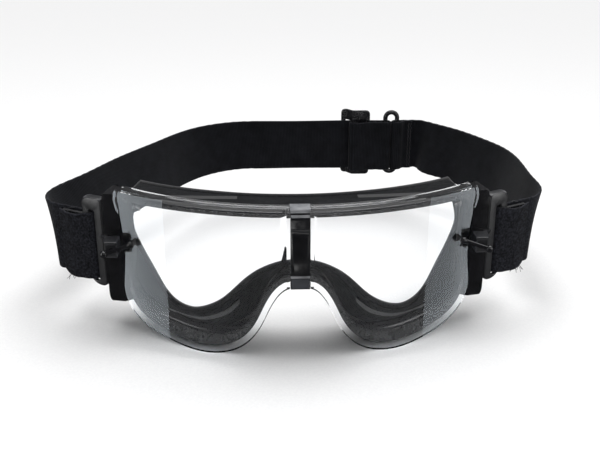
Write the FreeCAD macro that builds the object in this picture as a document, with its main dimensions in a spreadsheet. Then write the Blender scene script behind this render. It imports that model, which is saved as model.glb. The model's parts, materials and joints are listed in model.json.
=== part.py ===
import FreeCAD, Part
import math
import os

# Sports protective goggles: a one-piece clear lens held on a soft frame by a
# centre clip and two side toggles, with a wide elastic head strap.
#
# Frame of reference: +X to the right as seen from the front, +Y towards the
# wearer, +Z up. The origin lies on the mirror plane, level with the middle of
# the strap where it meets the frame, in the plane across the temples.

doc = FreeCAD.newDocument("goggles")
sheet = doc.addObject("Spreadsheet::Sheet", "sizes")
SIZES = [
    ("lens_half_width", 92.5, "mirror plane to the lens's side edge"),
    ("lens_top", 34.0, "height of the lens's top edge above the origin"),
    ("lens_drop", 45.6, "depth of the lens's two lower lobes below the origin"),
    ("lens_front", 47.6, "lens's front surface ahead of the origin"),
    ("lens_radius", 140.2, "radius that the lens is bent to"),
    ("lens_wall", 2.2, "thickness of the lens"),
    ("lens_ledge", 7.0, "how far the lens's top ledge reaches back"),
    ("lens_lobe", 47.5, "mirror plane to a lobe's lowest point"),
    ("nose_drop", 6.8, "top of the nose arch below the origin"),
    ("fit_gap", 0.3, "clearance between pieces that only lie side by side"),
    ("gasket_wall", 1.0, "thickness of the seal behind the lens"),
    ("gasket_inset", 0.9, "how far the seal stays inside the rim's edges"),
    ("rim_depth", 8.0, "depth of the rim behind the seal"),
    ("rim_overlap", 2.5, "strip of lens that stands out past the rim"),
    ("band_top", 5.5, "lens edge to the rim's opening along the top"),
    ("band_side", 5.5, "the same at the sides"),
    ("band_lobe", 11.0, "the same under the eyes"),
    ("band_nose", 7.6, "the same over the nose"),
    ("opening_lobe_step", 2.5, "opening's lobes nearer the nose than the lens's"),
    ("cheek_width", 9.0, "how far the rim's side wall stands outside the lens"),
    ("cheek_top", 30.5, "top of the side wall"),
    ("cheek_round", 5.0, "radius of the side wall's outer corners"),
    ("cheek_drop", 30.0, "bottom of the side wall below the origin"),
    ("face_radius", 128.0, "radius of the face seal"),
    ("face_centre", 8.0, "face seal's middle ahead of the origin"),
    ("face_half_width", 100.0, "mirror plane to the face seal's side"),
    ("face_top", 29.5, "top of the face seal"),
    ("face_drop", 46.5, "bottom of the face seal below the origin"),
    ("face_lobe", 58.5, "mirror plane to the seal's lowest point"),
    ("face_nose_drop", 12.6, "top of the seal's nose arch below the origin"),
    ("seal_width", 6.0, "width of the face seal's band"),
    ("seal_wall", 3.0, "thickness of the face seal"),
    ("skirt_wall", 2.5, "thickness of the soft frame's wall"),
    ("skirt_inset", 1.0, "soft frame's step in from the seal's outer edge"),
    ("vent_length", 38.0, "length of a vent"),
    ("vent_width", 7.0, "width of a vent, front to back"),
    ("vent_middle", 50.0, "mirror plane to the middle of a vent"),
    ("clip_width", 9.6, "width of the centre clip"),
    ("clip_wall", 3.2, "thickness of the centre clip's bar"),
    ("clip_plate", 1.9, "thickness of the plate that hooks over the rim"),
    ("clip_foot", 6.5, "bottom of the clip's foot below the origin"),
    ("clip_pin_radius", 0.8, "radius of the centre clip's hinge pin"),
    ("hinge_wall", 0.9, "wall round the hinge pin"),
    ("turn_gap", 0.05, "radial clearance of a turning fit"),
    ("rib_wall", 1.5, "width of the lens's ribs beside the clip"),
    ("toggle_offset", 3.5, "lens's side edge to a toggle's stem"),
    ("toggle_height", 3.4, "a toggle's stem above the origin"),
    ("toggle_reach", 13.14, "a toggle's bar ahead of the side wall"),
    ("toggle_inner", 11.0, "stem to the inner ball's centre"),
    ("toggle_outer", 3.8, "stem to the outer ball's centre"),
    ("toggle_tilt", 19.5, "slope of the toggle's bar, outer end down"),
    ("toggle_bar", 1.15, "radius of the toggle's bar"),
    ("toggle_ball", 1.95, "radius of the toggle's balls"),
    ("toggle_stem", 1.2, "radius of the toggle's stem"),
    ("stem_length", 7.4, "length of the toggle's stem"),
    ("washer_wall", 1.0, "thickness of the washer on the stem"),
    ("washer_place", 4.4, "post's front to the washer's pocket"),
    ("post_width", 6.4, "width of the post that carries a toggle"),
    ("post_height", 11.0, "height of that post"),
    ("sweep_angle", 29.0, "how far an outrigger is swept back"),
    ("wing_setback", 2.26, "outrigger's middle plane behind the side wall's front"),
    ("wing_length", 13.2, "length of an outrigger past the side wall"),
    ("wing_wall", 2.4, "thickness of an outrigger"),
    ("wing_above", 8.0, "strap's upper edge to the top of an outrigger"),
    ("wing_below", 3.5, "strap's lower edge to the bottom of an outrigger"),
    ("wing_round", 4.0, "radius of an outrigger's lower corner"),
    ("slot_start", 5.4, "side wall to the strap slot"),
    ("slot_width", 3.2, "width of the strap slot"),
    ("strap_width", 38.0, "width of the elastic strap"),
    ("strap_wall", 1.6, "thickness of the elastic strap"),
    ("strap_rise", 0.95, "how far the strap climbs towards the back"),
    ("strap_lean", 9.0, "how far the strap's lower edge leans in at the sides"),
    ("strap_side", 46.0, "lens's side edge to the strap beside the temples"),
    ("strap_back", 199.0, "strap's middle line behind the origin"),
    ("flap_length", 18.0, "free length of the folded strap end"),
    ("adjuster_lift", 2.4, "how far the adjuster rides above the strap's middle"),
    ("edge_play", 1.1, "play above and below the strap in a slot"),
    ("slider_place", 52.4, "mirror plane to the slider's middle bar"),
    ("slider_pitch", 9.1, "slider's middle bar to an outer bar"),
    ("slider_bar", 3.4, "width of a slider bar"),
    ("slider_wall", 2.2, "thickness of the slider"),
    ("slider_round", 2.5, "radius of the slider's corners"),
    ("slider_spare", 12.5, "how much taller the slider is than the strap"),
    ("ring_place", 79.8, "mirror plane to the oval ring's middle"),
    ("ring_width", 12.4, "width of the oval ring"),
    ("ring_spare", 12.4, "how much taller the oval ring is than the strap"),
    ("ring_rod", 1.7, "radius of the oval ring's rod"),
    ("ring_slack", 0.7, "play of the webbing round the ring's rods"),
    ("thread_radius", 0.35, "radius of the thread in that seam"),
    ("sewn_margin", 2.0, "strap's edge to the ends of the seam"),
    ("sewn_length", 5.0, "length of the sewn end of the right strap's loop"),
]
for row, (alias, amount, meaning) in enumerate(SIZES, start=1):
    sheet.set(f"A{row}", meaning)
    sheet.set(f"B{row}", str(amount))
    sheet.setAlias(f"B{row}", alias)
doc.recompute()


def size(text):
    """Work out an expression written with the sheet's own names."""
    result = sheet.evalExpression(text)
    return float(getattr(result, "Value", result))


def bind(thing, **expressions):
    """Bind properties to the sheet; a double underscore stands for a dot."""
    for name, text in expressions.items():
        thing.setExpression(name.replace("__", "."), text)


def join(kind, name, *pieces):
    """A Part boolean: Cut and Common take two pieces, MultiFuse any number."""
    result = doc.addObject(f"Part::{kind}", name)
    if kind == "MultiFuse":
        result.Shapes = list(pieces)
    else:
        result.Base, result.Tool = pieces
    return result


def box(name, length, depth, height, x, y, z):
    """A Part::Box whose sides and lowest corner follow the sheet."""
    block = doc.addObject("Part::Box", name)
    bind(block, Length=length, Width=depth, Height=height)
    bind(block, Placement__Base__x=x, Placement__Base__y=y, Placement__Base__z=z)
    return block


def mirrored(name, source):
    """The left-hand copy of a right-hand piece."""
    copy = doc.addObject("Part::Mirroring", name)
    copy.Source = source
    copy.Normal = FreeCAD.Vector(1, 0, 0)
    return copy


# ---- outlines, seen from the front ------------------------------------------
TURN_UP = FreeCAD.Rotation(FreeCAD.Vector(1, 0, 0), 90)
LENS_SHAPE = {"corner": (0.985, 1.0), "edge": (1.0, 3.5), "side": [(0.983, 17), (0.978, -8), (0.987, -25)],
              "shoulder": [(0.842, 0.483), (0.514, 0.811)],
              "flank": [(0.632, 0.866), (0.43, 0.593), (0.274, 0.201), (0.114, 0.01)]}
RIM_SHAPE = dict(LENS_SHAPE, side=[(0.99, 17), (0.985, -8), (0.98, -20)],
                 flank=[(0.72, 0.915), (0.53, 0.70), (0.36, 0.28), (0.17, 0.035)])
FACE_SHAPE = {"corner": (0.86, 1.2), "edge": (0.93, 9.0), "side": [(0.97, 10), (0.985, 0), (0.95, -10)],
              "shoulder": [(0.72, 0.45), (0.42, 0.86)],
              "flank": [(0.8, 0.894), (0.60, 0.65), (0.38, 0.26), (0.18, 0.06)]}


def stations(shape, half, top, low, lobe, nose):
    """Points round the right half of an outline, from the top middle to the nose."""
    corner = half * shape["corner"][0]
    points = [(0.0, top), (corner / 3, top), (corner * 2 / 3, top - shape["corner"][1] * 0.2)]
    points.append((corner, top - shape["corner"][1]))
    points.append((half * shape["edge"][0], top - shape["edge"][1]))
    points += [(half * across, height) for across, height in shape["side"]]
    last_x, last_z = points[-1]
    for across, down in shape["shoulder"]:
        points.append((lobe + (last_x - lobe) * across, last_z + (low - last_z) * down))
    points.append((lobe, low))
    points += [(lobe * across, nose + (low - nose) * down) for across, down in shape["flank"]]
    points.append((0.0, nose))
    return points


CORNER = 3    # the station where the top edge ends


def rim_lines(points, depth):
    """Top edge, corner, lower edge and corner as space curves; depth gives y at x."""
    right = [FreeCAD.Vector(x, depth(x), z) for x, z in points]
    left = [FreeCAD.Vector(-spot.x, spot.y, spot.z) for spot in right]
    top_edge = Part.BSplineCurve()
    top_edge.interpolate(left[CORNER:0:-1] + right[:CORNER + 1])
    low_edge = Part.BSplineCurve()
    low_edge.interpolate(right[CORNER + 1:] + left[-2:CORNER:-1])
    return [top_edge, Part.LineSegment(right[CORNER], right[CORNER + 1]), low_edge,
            Part.LineSegment(left[CORNER + 1], left[CORNER])]


def outline(name, points, y):
    """The same four lines as a closed sketch that stands across the goggles."""
    sketch = doc.addObject("Sketcher::SketchObject", name)
    sketch.Placement = FreeCAD.Placement(FreeCAD.Vector(0, y, 0), TURN_UP)
    lay_down = FreeCAD.Placement(FreeCAD.Vector(), TURN_UP.inverted()).toMatrix()
    for curve in rim_lines(points, lambda x: 0.0):
        curve.transform(lay_down)
        sketch.addGeometry(curve)
    return sketch


FRONT_PLANE = -70.0
REACH = 140.0


def prism(name, points):
    """An outline carried straight back through the whole depth of the goggles."""
    body = doc.addObject("Part::Extrusion", name)
    body.Base = outline(name + "_outline", points, FRONT_PLANE)
    body.DirMode = "Custom"
    body.Dir = FreeCAD.Vector(0, 1, 0)
    body.LengthFwd = REACH
    body.Solid = True
    return body


def drum(name, radius, centre):
    """A tall upright cylinder that bends a piece round the face."""
    cylinder = doc.addObject("Part::Cylinder", name)
    bind(cylinder, Radius=radius, Height="4 * sizes.lens_drop")
    bind(cylinder, Placement__Base__y=centre, Placement__Base__z="-2 * sizes.lens_drop")
    return cylinder


LENS_AXIS = "sizes.lens_radius - sizes.lens_front"
FACE_AXIS = "sizes.face_radius - sizes.face_centre"
LENS_BACK = "sizes.lens_radius - sizes.lens_wall"
RIM_FRONT = f"{LENS_BACK} - sizes.gasket_wall"
RIM_BACK = f"{RIM_FRONT} - sizes.rim_depth"
SEAL_FRONT = "sizes.face_radius + sizes.seal_wall"


def on_lens(x, radius):
    """How far back an upright drum round the lens's axis lies at x."""
    return size(LENS_AXIS) - math.sqrt(size(radius) ** 2 - x * x)


def on_face(x, radius):
    return size(FACE_AXIS) - math.sqrt(size(radius) ** 2 - x * x)


def lens_points(inset=0.0, top_inset=None):
    top = inset if top_inset is None else top_inset
    return stations(LENS_SHAPE, size("lens_half_width") - inset, size("lens_top") - top,
                    inset - size("lens_drop"), size("lens_lobe"), inset - size("nose_drop"))


def opening_points(inset=0.0):
    return stations(RIM_SHAPE, size("lens_half_width - band_side") - inset,
                    size("lens_top - band_top") - inset, size("band_lobe - lens_drop") + inset,
                    size("lens_lobe - opening_lobe_step"), size("band_nose - nose_drop") + inset)


def face_points(inset=0.0):
    return stations(FACE_SHAPE, size("face_half_width") - inset, size("face_top") - inset,
                    inset - size("face_drop"), size("face_lobe"), inset - size("face_nose_drop"))


# ---- lens --------------------------------------------------------------------
def make_lens():
    front = drum("lens_front_drum", "sizes.lens_radius", LENS_AXIS)
    back = drum("lens_back_drum", LENS_BACK, LENS_AXIS)
    shell = join("Cut", "lens_shell", front, back)
    sheet_part = join("Common", "lens_sheet", shell, prism("lens_prism", lens_points()))
    ledge_front = drum("ledge_front_drum", f"{LENS_BACK} + sizes.lens_wall / 2", LENS_AXIS)
    ledge_back = drum("ledge_back_drum", "sizes.lens_radius - sizes.lens_ledge", LENS_AXIS)
    ledge_shell = join("Cut", "ledge_shell", ledge_front, ledge_back)
    ledge_box = box("ledge_box", "2 * sizes.lens_half_width - 2 * sizes.rim_overlap", "sizes.lens_radius",
                    "sizes.lens_wall - sizes.fit_gap", "sizes.rim_overlap - sizes.lens_half_width",
                    "-sizes.lens_front", "sizes.lens_top - sizes.lens_wall + sizes.fit_gap")
    ledge = join("Common", "lens_top_ledge", ledge_shell, ledge_box)
    rib_front = drum("rib_front_drum", "sizes.lens_radius + sizes.lens_wall", LENS_AXIS)
    rib_shell = join("Cut", "rib_shell", rib_front, doc.getObject("lens_back_drum"))
    ribs = []
    for side, start in (("right", "sizes.clip_width / 2 + sizes.fit_gap"),
                        ("left", "-sizes.clip_width / 2 - sizes.fit_gap - sizes.rib_wall")):
        block = box(f"rib_box_{side}", "sizes.rib_wall", "sizes.lens_radius",
                    "sizes.lens_top + sizes.nose_drop - 1", start, "-2 * sizes.lens_front", "1 - sizes.nose_drop")
        ribs.append(join("Common", f"lens_rib_{side}", rib_shell, block))
    whole = join("MultiFuse", "lens_whole", sheet_part, ledge, *ribs)
    notch = box("clip_notch", "sizes.clip_width + 2 * sizes.fit_gap", "sizes.lens_ledge + 4 * sizes.lens_wall",
                "3 * sizes.lens_wall", "-sizes.clip_width / 2 - sizes.fit_gap",
                "-sizes.lens_front - 3 * sizes.lens_wall", "sizes.lens_top - sizes.clip_plate - sizes.fit_gap")
    foot_slot = box("foot_slot", "sizes.clip_width + 2 * sizes.fit_gap", "8 * sizes.lens_wall",
                    "sizes.lens_drop", "-sizes.clip_width / 2 - sizes.fit_gap",
                    "-sizes.lens_front - 4 * sizes.lens_wall", "1.5 - sizes.lens_drop")
    cuts = join("MultiFuse", "lens_cuts", notch, foot_slot)
    return join("Cut", "lens", whole, cuts)


# ---- seal behind the lens ------------------------------------------------------
def make_gasket():
    shell = join("Cut", "gasket_shell", doc.getObject("lens_back_drum"), drum("rim_front_drum", RIM_FRONT, LENS_AXIS))
    step = size("gasket_inset")
    outer = prism("gasket_outer", lens_points(size("rim_overlap") + step, size("lens_wall") + step))
    inner = prism("gasket_inner", opening_points(-step))
    band = join("Cut", "gasket_band", outer, inner)
    ring = join("Common", "gasket_ring", shell, band)
    return join("Cut", "lens_gasket", ring, doc.getObject("foot_slot"))


# ---- rim -----------------------------------------------------------------------
def plan_prism(name, corners, low, high):
    """A flat shape drawn from above, standing from one height to another."""
    sketch = doc.addObject("Sketcher::SketchObject", name + "_plan")
    sketch.Placement.Base = FreeCAD.Vector(0, 0, size(low))
    points = [FreeCAD.Vector(x, y, 0) for x, y in corners]
    for start, end in zip(points, points[1:] + points[:1]):
        sketch.addGeometry(Part.LineSegment(start, end))
    body = doc.addObject("Part::Extrusion", name)
    body.Base = sketch
    body.DirMode = "Custom"
    body.Dir = FreeCAD.Vector(0, 0, 1)
    bind(body, LengthFwd=f"({high}) - ({low})")
    body.Solid = True
    return body


def cheek_corners():
    """Plan of the right side wall, from the lens's edge out to the outrigger."""
    edge = size("lens_half_width")
    wide = size("cheek_width")
    front = on_lens(edge, RIM_FRONT)
    back = size("rim_depth") * 1.9
    return [(edge - 4.9, front + 2.4), (edge + 0.4, front - 1.5), (edge + wide - 1.6, front + 0.2),
            (edge + wide, front + 0.8), (edge + wide, front + back), (edge + wide - 5, front + back),
            (edge - 0.5, front + 10), (edge - 4.2, front + 7)]


def make_rim():
    shell = join("Cut", "rim_shell", doc.getObject("rim_front_drum"), drum("rim_back_drum", RIM_BACK, LENS_AXIS))
    outer = prism("rim_outer", lens_points(size("rim_overlap"), size("lens_wall")))
    inner = prism("rim_inner", opening_points())
    band = join("Common", "rim_band", shell, join("Cut", "rim_ring", outer, inner))
    cheek = plan_prism("rim_cheek_raw", cheek_corners(), "-sizes.cheek_drop", "sizes.cheek_top")
    doc.recompute()
    rounded = doc.addObject("Part::Fillet", "rim_cheek_right")
    rounded.Base = cheek
    edges = []
    for number, edge in enumerate(cheek.Shape.Edges, start=1):
        box_of = edge.BoundBox
        outside = box_of.XMax > size("lens_half_width + cheek_width") - 0.1
        if outside and box_of.ZLength < 1 and box_of.XLength < 0.1:
            edges.append((number, size("cheek_round"), size("cheek_round")))
    rounded.Edges = edges
    left = mirrored("rim_cheek_left", rounded)
    solid = join("MultiFuse", "rim_solid", band, rounded, left)
    gap = box("barrel_gap", "sizes.clip_width + 2 * sizes.fit_gap", "2 * sizes.rim_depth", "3 * sizes.rim_depth",
              "-sizes.clip_width / 2 - sizes.fit_gap", PIVOT_Y + " - 2 * (sizes.hinge_wall + sizes.clip_pin_radius)",
              PIVOT_Z + " - sizes.hinge_wall - sizes.clip_pin_radius - sizes.fit_gap")
    bore = doc.addObject("Part::Cylinder", "pin_bore")
    bore.Placement.Rotation = FreeCAD.Rotation(FreeCAD.Vector(0, 1, 0), 90)
    bind(bore, Radius="sizes.clip_pin_radius", Height="2 * sizes.clip_width",
         Placement__Base__x="-sizes.clip_width", Placement__Base__y=PIVOT_Y, Placement__Base__z=PIVOT_Z)
    return join("Cut", "front_rim", solid, join("MultiFuse", "rim_cuts", gap, bore))


PIVOT_Y = f"({LENS_AXIS} - ({RIM_BACK}) - sizes.hinge_wall - sizes.clip_pin_radius - 0.4)"
PIVOT_Z = "(sizes.lens_top - sizes.lens_wall - sizes.hinge_wall - sizes.clip_pin_radius + 0.2)"


# ---- soft frame ------------------------------------------------------------------
OVERRUN = 1.5    # the wall is made this much too long at both ends, then trimmed


def make_skirt():
    """The wall between the rim's opening and the face seal, before the vents are cut."""
    wall = size("skirt_wall")
    inset = size("skirt_inset")

    def near(x):
        return on_lens(x, f"{RIM_BACK} + {OVERRUN}")

    def far(x):
        return on_face(x, f"{SEAL_FRONT} - {OVERRUN}")

    lines = [rim_lines(opening_points(-wall), near), rim_lines(face_points(inset), far),
             rim_lines(face_points(inset + wall), far), rim_lines(opening_points(), near)]
    faces = []
    for first, second in zip(lines, lines[1:] + lines[:1]):
        faces += [Part.makeRuledSurface(one.toShape(), other.toShape()) for one, other in zip(first, second)]
    shell = Part.makeShell(faces)
    shell.sewShape()
    solid = Part.makeSolid(Part.Shell(shell.Faces))
    if solid.Volume < 0:
        solid.reverse()
    wall_piece = doc.addObject("Part::Feature", "skirt_wall_piece")
    wall_piece.Shape = solid
    trimmed = join("Common", "skirt_front_trim", wall_piece, doc.getObject("rim_back_drum"))
    return join("Cut", "skirt_blank", trimmed, drum("seal_front_drum", SEAL_FRONT, FACE_AXIS))


def vent_box(name, shrink, x, y, z):
    return box(name, f"sizes.vent_length - 2 * {shrink}", f"sizes.vent_width - 2 * {shrink}",
               "sizes.lens_top", f"{x} + {shrink}", f"{y} + {shrink}", z)


VENT_X = "sizes.vent_middle - sizes.vent_length / 2"
TOP_VENT_Y = "-sizes.face_centre - 9"
LOW_VENT_Y = "-sizes.face_centre - 11"


def finish_skirt(blank):
    """Cut the vents out of the blank and keep what fills them as filter strips."""
    cuts = []
    strips = []
    for level, y, z in (("top", TOP_VENT_Y, "0"), ("bottom", LOW_VENT_Y, "-sizes.lens_drop - 10")):
        hole = vent_box(f"vent_{level}_right_hole", "0", VENT_X, y, z)
        cuts += [hole, mirrored(f"vent_{level}_left_hole", hole)]
        plug = vent_box(f"vent_{level}_right_plug", "0.1", VENT_X, y, z)
        strip = join("Common", f"vent_filter_{level}_right", blank, plug)
        strips += [strip, mirrored(f"vent_filter_{level}_left", strip)]
    frame = join("Cut", "soft_frame", blank, join("MultiFuse", "vent_holes", *cuts))
    return [frame] + strips


# ---- face seal -------------------------------------------------------------------
def make_seal():
    shell = join("Cut", "seal_shell", doc.getObject("seal_front_drum"), drum("seal_back_drum", "sizes.face_radius", FACE_AXIS))
    band = join("Cut", "seal_band", prism("seal_outer", face_points()), prism("seal_inner", face_points(size("seal_width"))))
    return join("Common", "face_foam", shell, band)


# ---- centre clip -----------------------------------------------------------------
def make_clip():
    """A bar down the lens's middle, with a plate over the top and a foot below."""
    front = -size("lens_front") - size("clip_wall") - size("fit_gap")
    face = -size("lens_front") - size("fit_gap")
    top = size("lens_top")
    under = top - size("clip_plate")
    pivot_y = size(PIVOT_Y)
    pivot_z = size(PIVOT_Z)
    barrel = size("clip_pin_radius + hinge_wall")
    foot = -size("clip_foot")
    rim_face = on_lens(0, RIM_FRONT) - size("fit_gap")
    profile = [(front, 0.0), (front, top - 1.2), (front + 1.2, top + 0.3), (pivot_y - barrel, top + 0.6),
               (pivot_y, pivot_z + barrel), (pivot_y - barrel, pivot_z), (pivot_y - barrel - 1.0, under),
               (face, under), (face, 0.2), (rim_face, 0.2), (rim_face, foot + 1.0), (rim_face - 1.0, foot),
               (front + 0.9, foot), (front + 0.9, 0.0)]
    body = doc.addObject("PartDesign::Body", "clip_body")
    sketch = body.newObject("Sketcher::SketchObject", "clip_profile")
    plane = next(item for item in body.Origin.OriginFeatures if item.Role == "YZ_Plane")
    sketch.AttachmentSupport = [(plane, "")]
    sketch.MapMode = "FlatFace"
    points = [FreeCAD.Vector(y, z, 0) for y, z in profile]
    for start, end in zip(points, points[1:] + points[:1]):
        sketch.addGeometry(Part.LineSegment(start, end))
    pad = body.newObject("PartDesign::Pad", "clip_pad")
    pad.Profile = sketch
    pad.Midplane = True
    bind(pad, Length="sizes.clip_width")
    doc.recompute()
    roll = doc.addObject("Part::Cylinder", "clip_barrel")
    hole = doc.addObject("Part::Cylinder", "clip_barrel_hole")
    for part, radius, reach in ((roll, "sizes.clip_pin_radius + sizes.hinge_wall", "sizes.clip_width"),
                                (hole, "sizes.clip_pin_radius + sizes.turn_gap", "2 * sizes.clip_width")):
        part.Placement.Rotation = FreeCAD.Rotation(FreeCAD.Vector(0, 1, 0), 90)
        bind(part, Radius=radius, Height=reach, Placement__Base__x=f"-({reach}) / 2",
             Placement__Base__y=PIVOT_Y, Placement__Base__z=PIVOT_Z)
    return join("Cut", "centre_clip", join("MultiFuse", "clip_solid", body, roll), hole)


def make_pin():
    pin = doc.addObject("Part::Cylinder", "centre_clip_pin")
    pin.Placement.Rotation = FreeCAD.Rotation(FreeCAD.Vector(0, 1, 0), 90)
    bind(pin, Radius="sizes.clip_pin_radius", Height="2 * sizes.clip_width",
         Placement__Base__x="-sizes.clip_width", Placement__Base__y=PIVOT_Y, Placement__Base__z=PIVOT_Z)
    return pin


# ---- side toggles ----------------------------------------------------------------
BACKWARD = FreeCAD.Rotation(FreeCAD.Vector(1, 0, 0), -90)
TOGGLE_X = "(sizes.lens_half_width + sizes.toggle_offset)"
WALL_FRONT = f"({LENS_AXIS} - sqrt(({RIM_FRONT}) ^ 2 - sizes.lens_half_width ^ 2))"
TOGGLE_Y = f"({WALL_FRONT} - sizes.toggle_reach)"


def along_depth(name, radius, length, start):
    """A round bar on the right toggle's stem line, running front to back."""
    bar = doc.addObject("Part::Cylinder", name)
    bar.Placement.Rotation = BACKWARD
    bind(bar, Radius=radius, Height=length, Placement__Base__x=TOGGLE_X,
         Placement__Base__y=start, Placement__Base__z="sizes.toggle_height")
    return bar


POST_FRONT = f"({TOGGLE_Y} + sizes.toggle_ball + sizes.fit_gap)"
POST_LENGTH = "(sizes.toggle_reach - sizes.toggle_ball - 2 * sizes.fit_gap)"


def make_toggles():
    post_box = box("post_box", "sizes.post_width", POST_LENGTH, "sizes.post_height",
                   "sizes.lens_half_width + 2 * sizes.fit_gap", POST_FRONT,
                   "sizes.toggle_height - sizes.post_height / 2")
    cheek = doc.getObject("rim_cheek_right")
    bore = along_depth("post_bore", "sizes.toggle_stem + sizes.turn_gap", "sizes.toggle_reach + sizes.rim_depth", POST_FRONT + " - 1")
    pocket = along_depth("washer_pocket", "2 * sizes.toggle_stem + sizes.fit_gap",
                         "sizes.washer_wall + 2 * sizes.fit_gap", f"{POST_FRONT} + sizes.washer_place")
    solid = join("Cut", "post_trimmed", post_box, cheek)
    post = join("Cut", "toggle_post_right", solid, join("MultiFuse", "post_holes", bore, pocket))
    tilt = FreeCAD.Rotation(FreeCAD.Vector(0, 1, 0), -90 + size("toggle_tilt"))
    bar = doc.addObject("Part::Cylinder", "toggle_rod")
    bar.Placement.Rotation = tilt
    reach_x = "cos(sizes.toggle_tilt * 1deg)"
    reach_z = "sin(sizes.toggle_tilt * 1deg)"
    bind(bar, Radius="sizes.toggle_bar", Height="sizes.toggle_inner + sizes.toggle_outer",
         Placement__Base__x=f"{TOGGLE_X} + sizes.toggle_outer * {reach_x}", Placement__Base__y=TOGGLE_Y,
         Placement__Base__z=f"sizes.toggle_height - sizes.toggle_outer * {reach_z}")
    balls = []
    for name, arm in (("inner", "sizes.toggle_inner"), ("outer", "-sizes.toggle_outer")):
        ball = doc.addObject("Part::Sphere", f"toggle_ball_{name}")
        ball.Placement.Rotation = tilt
        bind(ball, Radius="sizes.toggle_ball", Placement__Base__x=f"{TOGGLE_X} - ({arm}) * {reach_x}",
             Placement__Base__y=TOGGLE_Y, Placement__Base__z=f"sizes.toggle_height + ({arm}) * {reach_z}")
        balls.append(ball)
    stem = along_depth("toggle_stem_rod", "sizes.toggle_stem", "sizes.stem_length", TOGGLE_Y)
    toggle = join("MultiFuse", "toggle_right", bar, stem, *balls)
    disc = along_depth("washer_disc", "2 * sizes.toggle_stem", "sizes.washer_wall",
                       f"{POST_FRONT} + sizes.washer_place + sizes.fit_gap")
    hole = along_depth("washer_hole", "sizes.toggle_stem", "3 * sizes.washer_wall",
                       f"{POST_FRONT} + sizes.washer_place - sizes.fit_gap")
    washer = join("Cut", "toggle_washer_right", disc, hole)
    return [post, mirrored("toggle_post_left", post), toggle, mirrored("toggle_left", toggle),
            washer, mirrored("toggle_washer_left", washer)]


# ---- outriggers --------------------------------------------------------------------
def sweep_line():
    """Start, direction and backward normal of the right outrigger's middle plane."""
    angle = math.radians(size("sweep_angle"))
    start = FreeCAD.Vector(size("lens_half_width + cheek_width"), size(f"{WALL_FRONT} + wing_setback"), 0)
    return start, FreeCAD.Vector(math.cos(angle), math.sin(angle), 0), FreeCAD.Vector(-math.sin(angle), math.cos(angle), 0)


def wing_plan(start, end, front, back):
    """Corners of a strip of the outrigger between two distances and two depths."""
    base, along, across = sweep_line()
    corners = []
    for distance, depth in ((start, front), (end, front), (end, back), (start, back)):
        spot = base + along * distance + across * depth
        corners.append((spot.x, spot.y))
    return corners


def square_root(corners):
    """Run a strip's two inner corners on to the side wall's flat face."""
    base, along, across = sweep_line()
    front, out_front, out_back, back = corners
    slope = along.y / along.x
    return [(base.x, out_front[1] - slope * (out_front[0] - base.x)), out_front, out_back,
            (base.x, out_back[1] - slope * (out_back[0] - base.x))]


WING_LOW = "(-sizes.strap_width / 2 - sizes.wing_below)"
WING_HIGH = "(sizes.strap_width / 2 + sizes.wing_above)"


def make_outriggers():
    half = size("wing_wall / 2")
    length = size("wing_length")
    plate = plan_prism("wing_plate", square_root(wing_plan(0, length, -half, half)), WING_LOW, WING_HIGH)
    lip = plan_prism("wing_lip", square_root(wing_plan(0, length - 1.5, -half, half + 4.0)),
                     f"{WING_HIGH} - 1.5 * sizes.wing_wall / 2", WING_HIGH)
    slot = plan_prism("wing_slot", wing_plan(size("slot_start"), size("slot_start + slot_width"), -3 * half, 3 * half),
                      "-sizes.strap_width / 2 - sizes.edge_play", "sizes.strap_width / 2 + sizes.edge_play")
    blank = join("Cut", "wing_blank", join("MultiFuse", "wing_solid", plate, lip), slot)
    doc.recompute()
    rounded = doc.addObject("Part::Fillet", "outrigger_right")
    rounded.Base = blank
    far_x = blank.Shape.BoundBox.XMax
    edges = []
    for number, edge in enumerate(blank.Shape.Edges, start=1):
        spot = edge.BoundBox
        if spot.ZLength < 0.01 and spot.ZMin < size(WING_LOW) + 0.1 and spot.XMin > far_x - 2 * half and spot.XLength > 0.1:
            edges.append((number, size("wing_round"), size("wing_round")))
    rounded.Edges = edges
    return [rounded, mirrored("outrigger_left", rounded)]


# ---- straps ----------------------------------------------------------------------
# Strap pieces are drawn flat, from above, and then tipped together, because the
# strap climbs a little towards the back of the head.
STRAP_TIP = FreeCAD.Placement(FreeCAD.Vector(), FreeCAD.Rotation(FreeCAD.Vector(1, 0, 0), size("strap_rise")))


def line(start, end):
    return Part.LineSegment(start, end).toShape()


def turn_around(centre, radius, start_angle, sweep):
    """An arc of strap round a bar, with its first and last points."""
    points = []
    for share in (0.0, 0.5, 1.0):
        angle = math.radians(start_angle + sweep * share)
        points.append(centre + FreeCAD.Vector(math.cos(angle), math.sin(angle), 0) * radius)
    return Part.Arc(*points).toShape(), points[0], points[2]


def front_fold():
    """Flap, turn round the outrigger's bar and the layer behind it, right-hand side."""
    base, along, across = sweep_line()
    reach = size("wing_wall / 2 + fit_gap + strap_wall / 2")
    centre = base + along * size("slot_start + slot_width + wing_wall / 8")
    arc, first, last = turn_around(centre, reach, size("sweep_angle") - 90, -180)
    flap_end = first + along * size("flap_length")
    side_start = last + along * size("flap_length + 2")
    return [line(flap_end, first), arc, line(last, side_start)], side_start, along


# The head strap's plan, as shares of its side width and of its run from the folded
# end to the back: the left side runs in sooner than the right side, which bows out
# round the head.
RIGHT_ROUTE = [(1.015, 0.0848), (1.035, 0.2111), (1.055, 0.3899), (1.045, 0.5582), (0.985, 0.695), (0.90, 0.8317),
               (0.79, 0.9527)]
LEFT_ROUTE = [(1.005, 0.0848), (0.935, 0.2637), (0.825, 0.4635), (0.675, 0.6844), (0.485, 0.9106)]


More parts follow.
